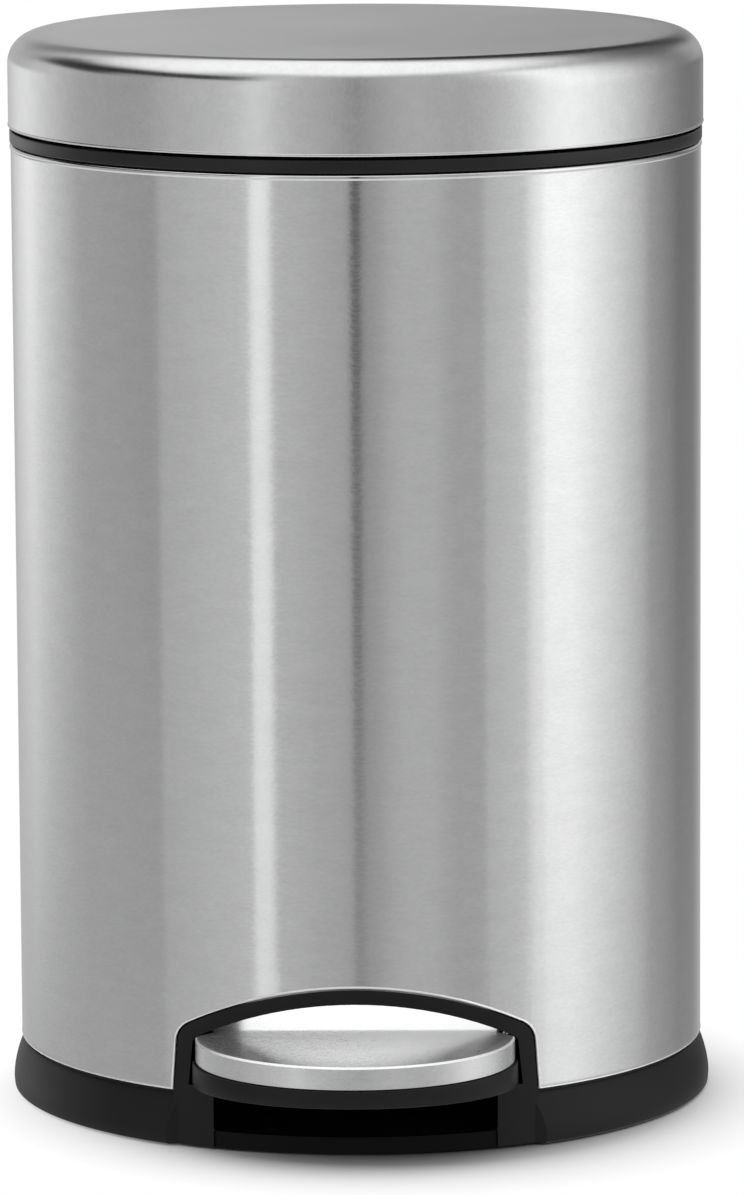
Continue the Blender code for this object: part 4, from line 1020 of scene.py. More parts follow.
@dataclass
class Base:
    """The black foot moulding with the arch round the pedal."""

    finishes: Finishes
    arch: Arch
    radius: float = 0.0935
    floor_top: float = 0.0042
    floor_low: float = 0.0025
    skirt_low: float = 0.0005
    skirt_top: float = 0.0140
    skirt_inset: float = 0.0006
    skirt_curve: float = 1.77
    bulge: float = 0.0958
    bulge_z: float = 0.0027
    skirt_steps: int = 12
    brow: float = 0.0001
    tuck: Point2 = (0.00008, 0.0010)
    foot_inset: float = 0.0006
    foot_soft: float = 0.00045
    proud: float = 0.0004
    deep: float = 0.0035
    recess: float = 0.0377
    shoulder: float = 0.0170
    lip: float = 0.0050
    sill_deep: float = 0.0006
    ring_outer: float = 0.090
    ring_inner: float = 0.084
    rib_inner: float = 0.0815
    collar_outer: float = 0.0926
    collar_wall: float = 0.0015
    collar_top: float = 0.0248
    saddle_x: float = 0.0346
    saddle_wall: float = 0.0040
    saddle_half: float = 0.0070
    hub: float = 0.0047
    pin: float = 0.0020
    crease: float = 0.0055
    ramp_rise: float = -0.0006
    boss: Point3 = (0.0295, 0.0785, 0.0036)
    boss_top: float = 0.0100
    boss_hole: float = 0.0015
    boss_bite: float = 0.0008
    saddle_soft: float = 0.0008
    window_corner: float = 0.0012
    arch_soft: float = 0.0005
    arch_floor: float = 0.0020
    slack: float = 0.00005
    front_share: float = 0.8
    core_low: float = -0.0100
    core_high: float = 0.0200

    def skirt(self) -> list[Point2]:
        """The outside of the skirt, top to bottom.

        Returns:
            The (radius, z) points.
        """
        top = self.radius - self.skirt_inset
        rise = self.skirt_top - self.bulge_z
        points = [(top - self.brow, self.skirt_top), (top, self.skirt_top - self.brow)]
        for step in range(1, self.skirt_steps + 1):
            up = 1 - step / self.skirt_steps
            out = self.bulge - (self.bulge - top) * up**self.skirt_curve
            points.append((out, self.bulge_z + rise * up))
        points.append((self.bulge - self.tuck[0], self.bulge_z - self.tuck[1]))
        foot = (self.bulge - self.foot_inset, self.skirt_low + self.foot_soft)
        return points + arc(foot, self.foot_soft, 0, -90, 4)

    def shell(self) -> Shape:
        """Floor, collar, skirt and the groove for the anti-slip ring.

        Returns:
            The turned moulding.
        """
        inner = self.collar_outer - self.collar_wall
        profile = [(0, self.floor_top), (inner, self.floor_top), (inner, self.collar_top)]
        profile += [(self.collar_outer, self.collar_top), (self.collar_outer, self.skirt_top)]
        profile += self.skirt()
        profile += [
            (self.ring_outer + GAP, self.skirt_low),
            (self.ring_outer + GAP, self.floor_low),
            (self.ring_inner - GAP, self.floor_low),
            (self.ring_inner - GAP, self.skirt_low * 2),
            (self.rib_inner, self.skirt_low * 2),
            (self.rib_inner, self.floor_low),
            (0, self.floor_low),
        ]
        return lathe("base_moulding_body", profile, steps=OUTER_STEPS, closed=False)

    def window(self) -> list[Point2]:
        """The opening inside the arch, narrower below its shoulders.

        Returns:
            The (x, z) points.
        """
        upper = self.arch.outline(-self.arch.band, self.shoulder)
        upper = [point for point in upper if point[1] > self.arch.sill]
        soft = self.window_corner
        half = [(self.recess, self.lip, soft), (self.recess, self.shoulder, soft)]
        half.append((self.recess + OVERRUN, self.shoulder, 0))
        return upper + rounded([(-x, z, radius) for x, z, radius in reversed(half)] + half)

    def build(self) -> None:
        """Joins the arch to the shell and cuts the window."""
        base = self.shell()
        front = AXIS_Y - self.radius - 2 * OVERRUN
        middle = AXIS_Y - self.radius / 2
        outer = self.radius + self.proud
        half = self.arch.half
        shore = AXIS_Y - math.sqrt(self.radius**2 - half**2)
        ramp = half + self.crease
        plan = [(half, middle), (half, shore), (ramp, shore + self.ramp_rise), (ramp, front)]
        trim = plan_slab("trim_tool", mirrored(plan), -OVERRUN, self.arch.sill)
        core = ((0, AXIS_Y, self.core_low), (0, AXIS_Y, self.core_high))
        cut(base, cut(trim, rod("trim_core", self.radius, *core, OUTER_STEPS)))
        top = self.arch.top + OVERRUN
        low = self.skirt_low + GAP
        inner = outer - self.deep
        section = [(outer, top), (outer, low), (inner, low), (inner, top)]
        hoop = lathe("arch_hoop", section, steps=OUTER_STEPS)
        keep(hoop, front_slab("arch_keep", self.arch.outline(0, -OVERRUN), front, middle))
        join(base, hoop)
        cut(base, front_slab("window_tool", self.window(), front, middle))
        face, clear, lip = outer - self.sill_deep, outer + OVERRUN, self.lip + GAP
        section = [(face, lip), (clear, lip), (clear, -OVERRUN), (face, -OVERRUN)]
        shave = lathe("sill_tool", section, steps=OUTER_STEPS)
        span = block(
            "sill_span",
            (-self.recess, front, self.skirt_low - OVERRUN),
            (self.recess, middle, self.shoulder),
        )
        cut(base, keep(shave, span))

        def at_front(first: Vector, last: Vector) -> bool:
            """Whether an edge lies on the arch's outer face.

            Args:
                first: one end of the edge.
                last: the other end.

            Returns:
                True if it does.
            """
            for spot in (first, last):
                away = math.hypot(spot.x, spot.y - AXIS_Y)
                if away < outer - self.slack or away > outer + GAP or spot.y > middle:
                    return False
                if abs(spot.x) > self.arch.foot - self.proud or spot.z < self.arch_floor:
                    return False
            return abs(first.z - last.z) > SAME or abs(first.x - last.x) > SAME

        round_edges(base, at_front, self.arch_soft)
        for side in (-1, 1):
            self.stand(base, side)
        out = self.saddle_x + self.saddle_wall + OVERRUN
        cut(base, bar("bore", self.pin + GAP, PIVOT, -out, out))
        dress(base, self.finishes.black, Body.BIN, "base_moulding")
        # The lip in the recess under the pedal takes the darker sill black: painted shade
        base.data.materials.append(self.finishes.sill.material)
        for face in base.data.polygons:
            spot = face.center
            low_enough = abs(spot.x) < self.recess and spot.z < self.lip + GAP
            if low_enough and spot.y < AXIS_Y - self.radius * self.front_share:
                face.material_index = 1

    def stand(self, base: Shape, side: int) -> None:
        """Adds a saddle for the pedal's pin and a screw boss on one side.

        Args:
            base: the moulding.
            side: 1 for the +X side and -1 for the other.
        """
        low, high = sorted((side * self.saddle_x, side * (self.saddle_x + self.saddle_wall)))
        pin_y, pin_z = PIVOT
        saddle = block(
            "saddle",
            (low, pin_y - self.saddle_half, self.floor_top - self.boss_bite),
            (high, pin_y + self.saddle_half, pin_z + self.hub),
        )
        join(base, soften(saddle, self.saddle_soft, segments=3))
        across, along, radius = self.boss
        spot = (side * across, AXIS_Y + along)
        foot, head = self.floor_top - self.boss_bite, self.boss_top
        join(base, rod("boss", radius, (*spot, foot), (*spot, head)))
        foot, head = self.floor_top + self.boss_bite, self.boss_top + OVERRUN
        cut(base, rod("boss_hole", self.boss_hole, (*spot, foot), (*spot, head)))


@dataclass
class Pedal:
    """The half-round pedal: a steel cap over a black moulding."""

    finishes: Finishes
    widest: float = AXIS_Y - 0.0880
    half: float = 0.0431
    reach: float = 0.0309
    top: float = 0.0312
    low: float = 0.0184
    tilt: float = math.radians(3.5)
    skirt: float = 0.0060
    ledge: float = 0.0008
    soft: float = 0.0005
    crease: float = 0.0070
    back: float = 0.0200
    back_top: float = 0.0409
    back_half: float = 0.0380
    band_soft: float = 0.0004
    sheet: float = 0.0012
    skin: float = 0.0020
    tail_half: float = 0.0340
    hub: float = 0.0047
    pin: float = 0.0020
    spine: float = 0.0083
    slit_top: float = 0.0253
    lever_half: float = 0.0015
    rivet: float = 0.0015
    straight: float = 0.0040
    cap_wall: float = 0.00072
    depth: float = 0.0200
    ceiling: float = 0.0600
    slack: float = 0.0001
    slant: float = math.cos(math.radians(45))
    slant_slack: float = 0.12
    steps: int = 56

    def nose(self, inset: float) -> list[Point2]:
        """The half-ellipse of the pedal's front, from +X to -X.

        Args:
            inset: how far inside the pedal's rim the outline runs.

        Returns:
            The (x, y) points.
        """
        half = self.half - inset
        reach = self.reach - inset
        angles = [math.pi * step / self.steps for step in range(self.steps + 1)]
        return [(half * math.cos(a), self.widest - reach * math.sin(a)) for a in angles]

    def line(self, drop: float, over: float = OVERRUN) -> list[Point2]:
        """The sheet's top as (y, z) points, front to back, lowered by drop.

        Args:
            drop: how far below the sheet's top.
            over: how far the line runs on past either end.

        Returns:
            The points.
        """
        slope = math.tan(self.tilt)
        front = self.widest - self.reach - over
        crease = self.widest + self.crease
        rise = (self.back_top - self.top) / (self.back - self.crease)
        far = self.widest + self.back
        return [
            (front, self.top + (front - self.widest) * slope - drop),
            (crease, self.top + self.crease * slope - drop),
            (far, self.back_top - drop),
            (far + over, self.back_top + rise * over - drop),
        ]

    def plan(self, inset: float, half: float, start: float, far: float) -> list[Point2]:
        """The nose's (x, y) outline with straight sides behind it, from a start to the back."""
        return self.nose(inset) + [(-half, start), (-half, far), (half, far), (half, start)]

    def layer(self, name: str, above: float, below: float) -> Shape:
        """What lies between two depths under the sheet's top, wider than the pedal."""
        wide = self.half + OVERRUN
        return side_slab(name, self.line(above) + self.line(below)[::-1], -wide, wide)

    def level(self, y: float) -> float:
        """The height of the sheet's top at a place along Y.

        Args:
            y: the place.

        Returns:
            The height.
        """
        crease, far = self.line(0)[1:3]
        if y > crease[0]:
            return crease[1] + (y - crease[0]) * (far[1] - crease[1]) / (far[0] - crease[0])
        return self.top + (y - self.widest) * math.tan(self.tilt)

    def plate(self) -> None:
        """The steel cap with its rolled edge."""
        far = self.widest + self.back
        plan = self.plan(self.ledge, self.back_half, self.widest + self.straight, far)
        cap = plan_slab("pedal_plate_sheet", plan, self.low, self.back_top + 2 * OVERRUN)
        keep(cap, self.layer("sheet_keep", 0, self.skirt))

        def rim(first: Vector, last: Vector) -> bool:
            """Whether an edge lies on the top's outline.

            Args:
                first: one end of the edge.
                last: the other end.

            Returns:
                True if it does.
            """
            for spot in (first, last):
                if abs(spot.z - self.level(spot.y)) > self.slack:
                    return False
            crossing = abs(first.y - last.y) < SAME and abs(first.x - last.x) > self.half / 2
            return not (crossing and abs(first.y - far) > self.soft)

        round_edges(cap, rim, self.soft, segments=1)
        cut(cap, self.hollow())
        dress(cap, self.finishes.tread, Body.PEDAL, "pedal_plate")
        # The slanted rim faces at the front take the lighter edge steel: a painted highlight
        cap.data.materials.append(self.finishes.edge.material)
        for face in cap.data.polygons:
            slanted = abs(face.normal.z - self.slant) < self.slant_slack
            if slanted and face.center.y < self.widest + self.crease:
                face.material_index = 1

    def hollow(self) -> Shape:
        """The space under the sheet, which leaves the cap one sheet thick.

        Returns:
            The tool that cuts it.
        """
        far = self.widest + self.back + OVERRUN
        plan = self.plan(self.ledge + STEEL, self.half + OVERRUN, self.widest, far)
        low, high = self.low - self.skin, self.back_top + 2 * OVERRUN
        core = plan_slab("sheet_hollow", plan, low, high)
        return keep(core, self.layer("hollow_keep", self.cap_wall, self.depth))

    def moulding(self) -> None:
        """The black band, the core under the sheet and the tail to the pivot."""
        wide = self.half + OVERRUN
        band = plan_slab("pedal_moulding_body", self.nose(0), self.low, self.top)
        over = [(y, self.ceiling) for y, _ in self.line(0)]
        cut(band, side_slab("band_tool", self.line(self.skirt + GAP) + over[::-1], -wide, wide))
        soften(band, self.band_soft)
        under = self.line(self.sheet)
        inset = self.ledge + STEEL + 2 * GAP
        core = plan_slab("core", self.nose(inset), self.low + self.skin, self.top + OVERRUN)
        cut(core, side_slab("core_tool", under + over[::-1], -wide, wide))
        join(band, core)
        y, z = PIVOT
        start = self.widest - 2 * self.skin
        crease, far = under[1], under[2]
        front_z = crease[1] - (crease[0] - start) * math.tan(self.tilt)
        tail = [
            (start, self.low + GAP),
            (start, front_z - GAP),
            (crease[0], crease[1] - GAP / 2),
            (far[0] - 2 * GAP, far[1] - 2 * GAP),
            (far[0] + 2 * self.skin, far[1] - self.skin),
            (far[0] + 3 * self.skin, self.slit_top + self.skin),
            (y, z + self.hub - GAP),
            (y, z - self.hub + GAP),
        ]
        join(band, side_slab("tail", tail, -self.tail_half, self.tail_half))
        out = self.tail_half - GAP
        join(band, bar("hub", self.hub, PIVOT, -out, out, EYE_STEPS))
        front = self.widest + 2 * self.skin
        for side in (-1, 1):
            low, high = sorted((side * self.spine, side * (self.tail_half - self.skin)))
            cut(band, block("pocket", (low, front, 0), (high, y - 2 * self.hub, self.slit_top)))
        slit = self.lever_half + GAP
        near = (-slit, front + 2 * self.skin, 0)
        cut(band, block("slit", near, (slit, y + self.hub + OVERRUN, self.slit_top)))
        out += OVERRUN
        cut(band, bar("bore", self.pin + GAP, PIVOT, -out, out))
        reach = self.spine + OVERRUN
        for number in (1, 2):
            spot = middle_of(f"lever_rivet_{number}").yz
            cut(band, bar("hole", self.rivet + GAP, spot, -reach, reach))
        dress(band, self.finishes.black, Body.PEDAL, "pedal_moulding")

    def build(self) -> None:
        """Makes the cap and the moulding."""
        self.plate()
        self.moulding()


@dataclass
class Rim:
    """The black ring in the gap under the lid, which carries the bucket."""

    finishes: Finishes
    outer: float = 0.0938
    low: float = 0.2607
    plate_top: float = 0.2623
    high: float = 0.2642
    flange: float = 0.0033
    collar: float = 0.0926
    wall: float = 0.0015
    drop: float = 0.2480
    ledge: float = 0.0690
    edge_soft: float = 0.0004
    soft: float = 0.0003
    mouth: float = 0.0784
    mouth_y: float = AXIS_Y - 0.0060
    notch: tuple[str, float, float, float] = ("notch", -0.0235, 0.0235, AXIS_Y + 0.0835)
    slot: tuple[str, float, float, float] = ("slot", -0.0093, 0.0116, AXIS_Y + 0.0755)
    tool_span: Point2 = (0.2400, 0.2700)
    tool_back: float = AXIS_Y + 0.1

    def build(self) -> None:
        """Turns the ring and cuts its mouth and the notch for the hinge."""
        soft = self.edge_soft
        profile = arc((self.outer - soft, self.high - soft), soft, 90, 0, 4)
        profile += arc((self.outer - soft, self.low + soft), soft, 0, -90, 4)
        profile += [
            (self.collar, self.low),
            (self.collar, self.drop),
            (self.collar - self.wall, self.drop),
            (self.collar - self.wall, self.low),
            (self.ledge, self.low),
            (self.ledge, self.plate_top),
            (self.outer - self.flange, self.plate_top),
            (self.outer - self.flange, self.high),
        ]
        ring = lathe("top_rim_ring", profile, steps=OUTER_STEPS)
        low, high = self.tool_span
        spot = (0, self.mouth_y)
        cut(ring, rod("mouth", self.mouth, (*spot, low), (*spot, high), INNER_STEPS))
        for name, left, right, front in (self.notch, self.slot):
            cut(ring, block(name, (left, front, low), (right, self.tool_back, high)))
        soften(ring, self.soft)
        dress(ring, self.finishes.rim, Body.BIN, "top_rim")


@dataclass
class Housing:
    """The moulding behind the sleeve that carries the hinge pin."""

    finishes: Finishes
    radius: float = 0.0938
    half: float = 0.0340
    inner: float = AXIS_Y + 0.0765
    back: float = AXIS_Y + 0.1020
    low: float = 0.2350
    high: float = 0.2575
    corner: float = 0.0030
    soft: float = 0.0010
    ear_soft: float = 0.0003
    knuckle: float = 0.0036
    bore: float = 0.0018
    ears: tuple[Point2, ...] = ((-0.0320, -0.0230), (-0.0090, 0.0090), (0.0230, 0.0320))
    screw: Point2 = (0.0285, 0.2425)
    screw_bite: float = 0.0063

    def build(self) -> None:
        """Rounds the body, hollows it to the sleeve and adds the three ears."""
        plan = rounded(
            [
                (-self.half, self.inner, 0),
                (self.half, self.inner, 0),
                (self.half, self.back, self.corner),
                (-self.half, self.back, self.corner),
            ]
        )
        body = plan_slab("hinge_housing_body", plan, self.low, self.high)
        soften(body, self.soft, segments=3)
        across, height = HINGE
        for low, high in self.ears:
            foot = (low + GAP, across - self.knuckle + GAP, self.high - self.soft * 2)
            head = (high - GAP, across + self.knuckle - GAP, height)
            ear = bar("ear", self.knuckle, HINGE, low, high, KNUCKLE_STEPS)
            join(body, soften(join(block("neck", foot, head), ear), self.ear_soft))
        cut(body, bar("bore", self.bore, HINGE, -self.half, self.half))
        low, high = self.low - OVERRUN, self.high + OVERRUN
        cut(body, rod("core", self.radius, (0, AXIS_Y, low), (0, AXIS_Y, high), OUTER_STEPS))
        shore = AXIS_Y + math.sqrt(self.radius**2 - self.screw[0] ** 2)
        for side in (-1, 1):
            spot = side * self.screw[0]
            near = (spot, shore - OVERRUN, self.screw[1])
            cut(body, rod("hole", self.bore, near, (spot, shore + self.screw_bite, near[2])))
        dress(body, self.finishes.black, Body.BIN, "hinge_housing")


@dataclass
class Liner:
    """The lid's black lining with its hinge arms and the lug that the rod lifts."""

    finishes: Finishes
    outer: float = 0.0932
    inner: float = 0.0914
    lip: float = 0.0912
    low: float = 0.2653
    top: float = 0.2849
    wall: float = 0.0018
    corner: float = 0.0074
    crown_share: float = 0.5
    soft: float = 0.0003
    knuckle: float = 0.0036
    bore: float = 0.0018
    arm: Point2 = (0.0103, 0.0217)
    arm_root: float = AXIS_Y + 0.0850
    arm_back: float = AXIS_Y + 0.0903
    arm_low: float = 0.2610
    arm_high: float = 0.2647
    lug_half: float = 0.0025
    lug_wall: float = 0.0020
    lug_back: float = AXIS_Y + 0.0923
    lug_top: float = 0.2720
    lug_depth: float = 0.0073
    slot_half: float = 0.0025
    slot_near: float = 0.0114
    slot_far: float = 0.015726
    slope: float = math.radians(37.5)

    def lining(self) -> Shape:
        """The round lining with its lip.

        Returns:
            The turned lining.
        """
        edge = self.outer - self.corner
        shoulder = self.top - self.corner
        crown = edge * self.crown_share
        profile = [(0, self.top), (crown, self.top)]
        profile += arc((edge, shoulder), self.corner, 90, 0, 10)
        profile += [
            (self.outer, self.low + self.soft),
            (self.outer - self.soft, self.low),
            (self.lip + self.soft, self.low),
            (self.lip, self.low + self.soft),
            (self.lip, self.low + self.wall - self.soft),
            (self.inner, self.low + self.wall),
        ]
        profile += arc((edge, shoulder), self.corner - self.wall, 0, 90, 10)
        profile += [(crown, self.top - self.wall), (0, self.top - self.wall)]
        return lathe("lid_liner_body", profile, closed=False)

    def lug_point(self, along: float, across: float) -> Point2:
        """A (y, z) place counted from the hinge along the slot and across it.

        Args:
            along: distance along the slot, away from the hinge.
            across: distance across it, upwards.

        Returns:
            The place.
        """
        down = math.sin(self.slope)
        ahead = math.cos(self.slope)
        return (
            HINGE[0] - along * ahead - across * down,
            HINGE[1] - along * down + across * ahead,
        )

    def lug(self) -> Shape:
        """The lug with its slot for the rod's bent tip.

        Returns:
            The lug.
        """
        edge = self.slot_half + self.lug_wall
        tip = self.slot_far + edge
        high = self.lug_point(tip, edge)
        low = self.lug_point(tip, -edge)
        back_z = low[1] + (self.lug_back - low[0]) * math.tan(self.slope)
        soft = self.lug_wall / 2
        outline = rounded(
            [
                (self.lug_back, self.lug_top, soft),
                (self.lug_back - self.lug_depth, self.lug_top, soft),
                (*high, edge - GAP),
                (*low, edge - GAP),
                (self.lug_back, back_z, soft),
            ]
        )
        lug = side_slab("lug", outline, -self.lug_half, self.lug_half)
        soften(lug, self.soft)
        turn = math.degrees(self.slope)
        near = self.lug_point(self.slot_near, 0)
        far = self.lug_point(self.slot_far, 0)
        slot = arc(near, self.slot_half, turn - 90, turn + 90, 12)
        slot += arc(far, self.slot_half, turn + 90, turn + 270, 12)
        out = self.lug_half + OVERRUN
        return cut(lug, side_slab("slot", slot, -out, out))

    def build(self) -> None:
        """Joins the arms and the lug to the lining."""
        liner = self.lining()
        for side in (-1, 1):
            low, high = sorted(side * edge for edge in self.arm)
            root = block(
                "arm_root",
                (low + GAP, self.arm_root, self.arm_low + GAP),
                (high - GAP, self.arm_back, self.low + self.wall / 2),
            )
            arm = block(
                "arm",
                (low + GAP / 2, self.arm_root + GAP, self.arm_low),
                (high - GAP / 2, HINGE[0], self.arm_high),
            )
            knuckle = bar("knuckle", self.knuckle, HINGE, low, high, KNUCKLE_STEPS)
            join(liner, root, soften(join(arm, knuckle), self.soft))
        out = self.arm[1] + OVERRUN
        cut(liner, bar("bore", self.bore, HINGE, -out, out))
        join(liner, self.lug())
        dress(liner, self.finishes.black, Body.LID, "lid_liner")


@dataclass
class Bucket:
    """The lift-out bucket with its wire bail and grip."""

    finishes: Finishes
    centre: float = AXIS_Y - 0.0060
    top_radius: float = 0.0772
    low_radius: float = 0.0722
    flange: float = 0.0812
    wall: float = 0.0018
    low: float = 0.0480
    high: float = 0.2644
    corner: float = 0.0030
    soft: float = 0.0005
    floor_share: float = 0.5
    floor_ring: tuple[Point2, ...] = ((0.62, 0.0), (0.63, 0.0004), (0.66, 0.0004), (0.67, 0.0))
    ear: Point2 = (0.0784, 0.0806)
    ear_half: float = 0.0035
    ear_top: float = 0.2712
    bail_z: float = 0.2677
    bail_radius: float = 0.0015
    sweep: float = 0.0767
    bend: float = 0.0020
    tip: float = 0.0821
    grip_radius: float = 0.0030
    grip_turn: float = 22.0
    bore_turn: float = 8.0
    grip_edge: float = 60.0
    bail_steps: int = 64
    grip_steps: int = 28
    bore_steps: int = 40

    def shell(self) -> Shape:
        """The tapered bucket with its flange and a raised ring in its floor.

        Returns:
            The turned bucket.
        """
        floor = self.low + self.wall
        rise = self.corner / (self.high - self.low) * (self.top_radius - self.low_radius)
        inner_low = self.low_radius - self.wall
        profile = [(0, floor)]
        for share, step in self.floor_ring:
            profile.append((inner_low * share, floor + step))
        middle = (inner_low - self.corner + rise, floor + self.corner)
        profile += arc(middle, self.corner, -90, 0, 6)
        soft, mouth, high = self.soft, self.top_radius - self.wall, self.high
        low = high - self.wall
        profile += [
            (mouth - soft, high - 2 * soft),
            (mouth + soft, high),
            (self.flange - soft, high),
            (self.flange, high - soft),
            (self.flange, low + soft),
            (self.flange - soft, low),
            (self.top_radius + soft, low),
            (self.top_radius, low - soft),
        ]
        middle = (self.low_radius - self.corner + rise, self.low + self.corner)
        profile += arc(middle, self.corner, 0, -90, 6)
        profile += [(self.low_radius * self.floor_share, self.low), (0, self.low)]
        return lathe("inner_bucket_body", profile, self.centre, closed=False)

    def bow(self, half_turn: float, steps: int) -> list[Point3]:
        """Places on the bail's bow at the front, within a half turn of its middle."""
        line = arc((0, self.centre), self.sweep, -90 + half_turn, -90 - half_turn, steps)
        return [(x, y, self.bail_z) for x, y in line]

    def build(self) -> None:
        """Adds the ears to the bucket and hangs the bail with its grip in them."""
        bucket = self.shell()
        foot, corner = self.high - self.wall / 2, self.ear_half - GAP
        back, front = self.centre - self.ear_half, self.centre + self.ear_half
        corners = [(back, foot, 0), (back, self.ear_top, corner)]
        corners += [(front, self.ear_top, corner), (front, foot, 0)]
        for side in (-1, 1):
            near, far = sorted(side * edge for edge in self.ear)
            join(bucket, side_slab("ear", rounded(corners), near, far))
        hole = (self.centre, self.bail_z)
        cut(bucket, bar("hole", self.bail_radius + GAP, hole, -self.flange, self.flange))
        dress(bucket, self.finishes.bucket, Body.BUCKET, "inner_bucket")
        middle = (self.sweep + self.bend, self.centre - self.bend)
        line = [(self.tip, self.centre), *arc(middle, self.bend, 90, 180, 6)]
        right = [(x, y, self.bail_z) for x, y in line]
        left = [(-x, y, z) for x, y, z in reversed(right)]
        middle = self.bow(90 - math.degrees(2 * self.bend / self.sweep), self.bail_steps)
        bail = wire("bucket_bail_wire", right + middle + left, self.bail_radius, sides=6)
        dress(bail, self.finishes.plated, Body.BAIL, "bucket_bail")
        line = self.bow(self.grip_turn, self.grip_steps)
        grip = wire("bail_grip_tube", line, self.grip_radius, sides=10)
        soften(grip, self.soft, segments=3, angle=self.grip_edge)
        line = self.bow(self.grip_turn + self.bore_turn, self.bore_steps)
        bore = wire("grip_bore", line, self.bail_radius + GAP, sides=6)
        cut(grip, bore)
        dress(grip, self.finishes.bucket, Body.BAIL, "bail_grip")


@dataclass
class Hardware:
    """Pins, clips, screws and rivets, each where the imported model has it."""

    finishes: Finishes
    pairs: tuple[tuple[str, float, str, float, Body], ...] = (
        ("hinge_pin", 0.0015, "hinge_clip", 0.0018, Body.BIN),
        ("pedal_pivot_pin", 0.0020, "pivot_clip", 0.0023, Body.BIN),
        ("rear_link_pin", 0.0015, "link_clip", 0.0018, Body.PEDAL),
    )
    rod_hole: float = 0.0019
    housing_screw: float = 0.0015
    channel_screw: float = 0.0012
    rivet_radius: float = 0.0015
    soft: float = 0.0002
    pin_head: float = 0.0015
    screw_head: float = 0.0020
    rivet_head: float = 0.0012
    pin_shares: Point2 = (0.6, 0.85)
    screw_shares: Point2 = (0.45, 0.8)
    cross_shares: Point2 = (0.5, 0.12)
    rivet_shares: Point2 = (0.5, 0.85)
    thread: float = 0.00022
    pitch: float = 0.0008

    def measures(self, node: str) -> tuple[Point3, float, float]:
        """The start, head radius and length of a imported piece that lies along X."""
        low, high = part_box(node)
        return (low[0], *middle_of(node).yz), (high[2] - low[2]) / 2, high[0] - low[0]

    def pin(self, node: str, radius: float, body: Body) -> None:
        """A pin along X with a domed head at its low end.

        Args:
            node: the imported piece.
            radius: the shank's radius.
            body: what carries it.
        """
        start, head, length = self.measures(node)
        soft, top = self.soft, self.pin_head
        crown, brow = (head * share for share in self.pin_shares)
        profile = [(0, 0), (crown, soft / 3), (brow, soft), (head, soft * 3)]
        profile += [(head, top - soft), (head - soft, top), (radius, top)]
        profile += [(radius, length - 2 * soft), (radius - 2 * soft, length), (0, length)]
        thing = turned(node + "_turned", profile, start, Along.X, BAR_STEPS)
        dress(thing, self.finishes.plated, body, node)

    def clip(self, node: str, hole: float, body: Body) -> None:
        """A spring clip with the gap through which it snaps on.

        Args:
            node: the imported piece.
            hole: the radius of its hole.
            body: what carries it.
        """
        start, outer, width = self.measures(node)
        corners = [(hole, 0), (outer, 0), (outer, width), (hole, width)]
        profile = rounded([(a, b, self.soft) for a, b in corners], steps=3)
        ring = lathe(node + "_ring", profile, 0.0, EYE_STEPS)
        gap = hole / 2
        cut(ring, block("gap", (-outer * 2, -gap, -OVERRUN), (0, gap, width + OVERRUN)))
        dress(place(ring, start, Along.X), self.finishes.plated, body, node)

    def screw(self, node: str, radius: float, along: Along) -> None:
        """A pan-head screw with a cross recess and rings of thread.

        Args:
            node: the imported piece.
            radius: the thread's radius.
            along: the turn that lays it in its hole.
        """
        low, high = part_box(node)
        middle = middle_of(node)
        head = (high[0] - low[0]) / 2
        length = high[1] - low[1] if along is Along.Y else high[2] - low[2]
        soft, top = self.soft, self.screw_head
        crown, brow = (head * share for share in self.screw_shares)
        profile = [(0, 0), (crown, soft / 2), (brow, soft * 2), (head, soft * 6)]
        profile += [(head, top - soft), (head - soft, top), (radius, top)]
        spot = top + self.pitch
        while spot < length - 2 * self.pitch:
            profile += [(radius, spot), (radius - self.thread, spot + self.pitch / 2)]
            spot += self.pitch
        profile += [(radius, length - 2 * self.pitch), (self.thread, length), (0, length)]
        thing = lathe(node + "_turned", profile, 0.0, TURNED_STEPS, closed=False)
        arm, slit = (head * share for share in self.cross_shares)
        for wide, deep in ((arm, slit), (slit, arm)):
            cut(thing, block("recess", (-wide, -deep, -OVERRUN), (wide, deep, top / 2)))
        start = (middle.x, low[1], middle.z)
        if along is Along.DOWN:
            start = (middle.x, middle.y, high[2])
        dress(place(thing, start, along), self.finishes.plated, Body.BIN, node)

    def rivet(self, node: str, radius: float) -> None:
        """A rivet along X with two domed heads.

        Args:
            node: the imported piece.
            radius: the shank's radius.
        """
        start, head, length = self.measures(node)
        soft, top = self.soft, self.rivet_head
        crown, brow = (head * share for share in self.rivet_shares)
        near = [(0, 0), (crown, soft / 2), (brow, soft * 2), (head, top - soft)]
        near += [(head, top), (radius, top)]
        profile = near + [(across, length - along) for across, along in reversed(near)]
        thing = turned(node + "_turned", profile, start, Along.X)
        dress(thing, self.finishes.plated, Body.PEDAL, node)

    def build(self) -> None:
        """Makes every small metal part."""
        for pin, radius, clip, hole, body in self.pairs:
            self.pin(pin, radius, body)
            self.clip(clip, hole, body)
        self.clip("rod_clip", self.rod_hole, Body.LIFT_ROD)
        for word in ("left", "right"):
            self.screw(f"housing_screw_{word}", self.housing_screw, Along.Y)
            self.screw(f"channel_screw_{word}", self.channel_screw, Along.DOWN)
        for number in (1, 2):
            self.rivet(f"lever_rivet_{number}", self.rivet_radius)


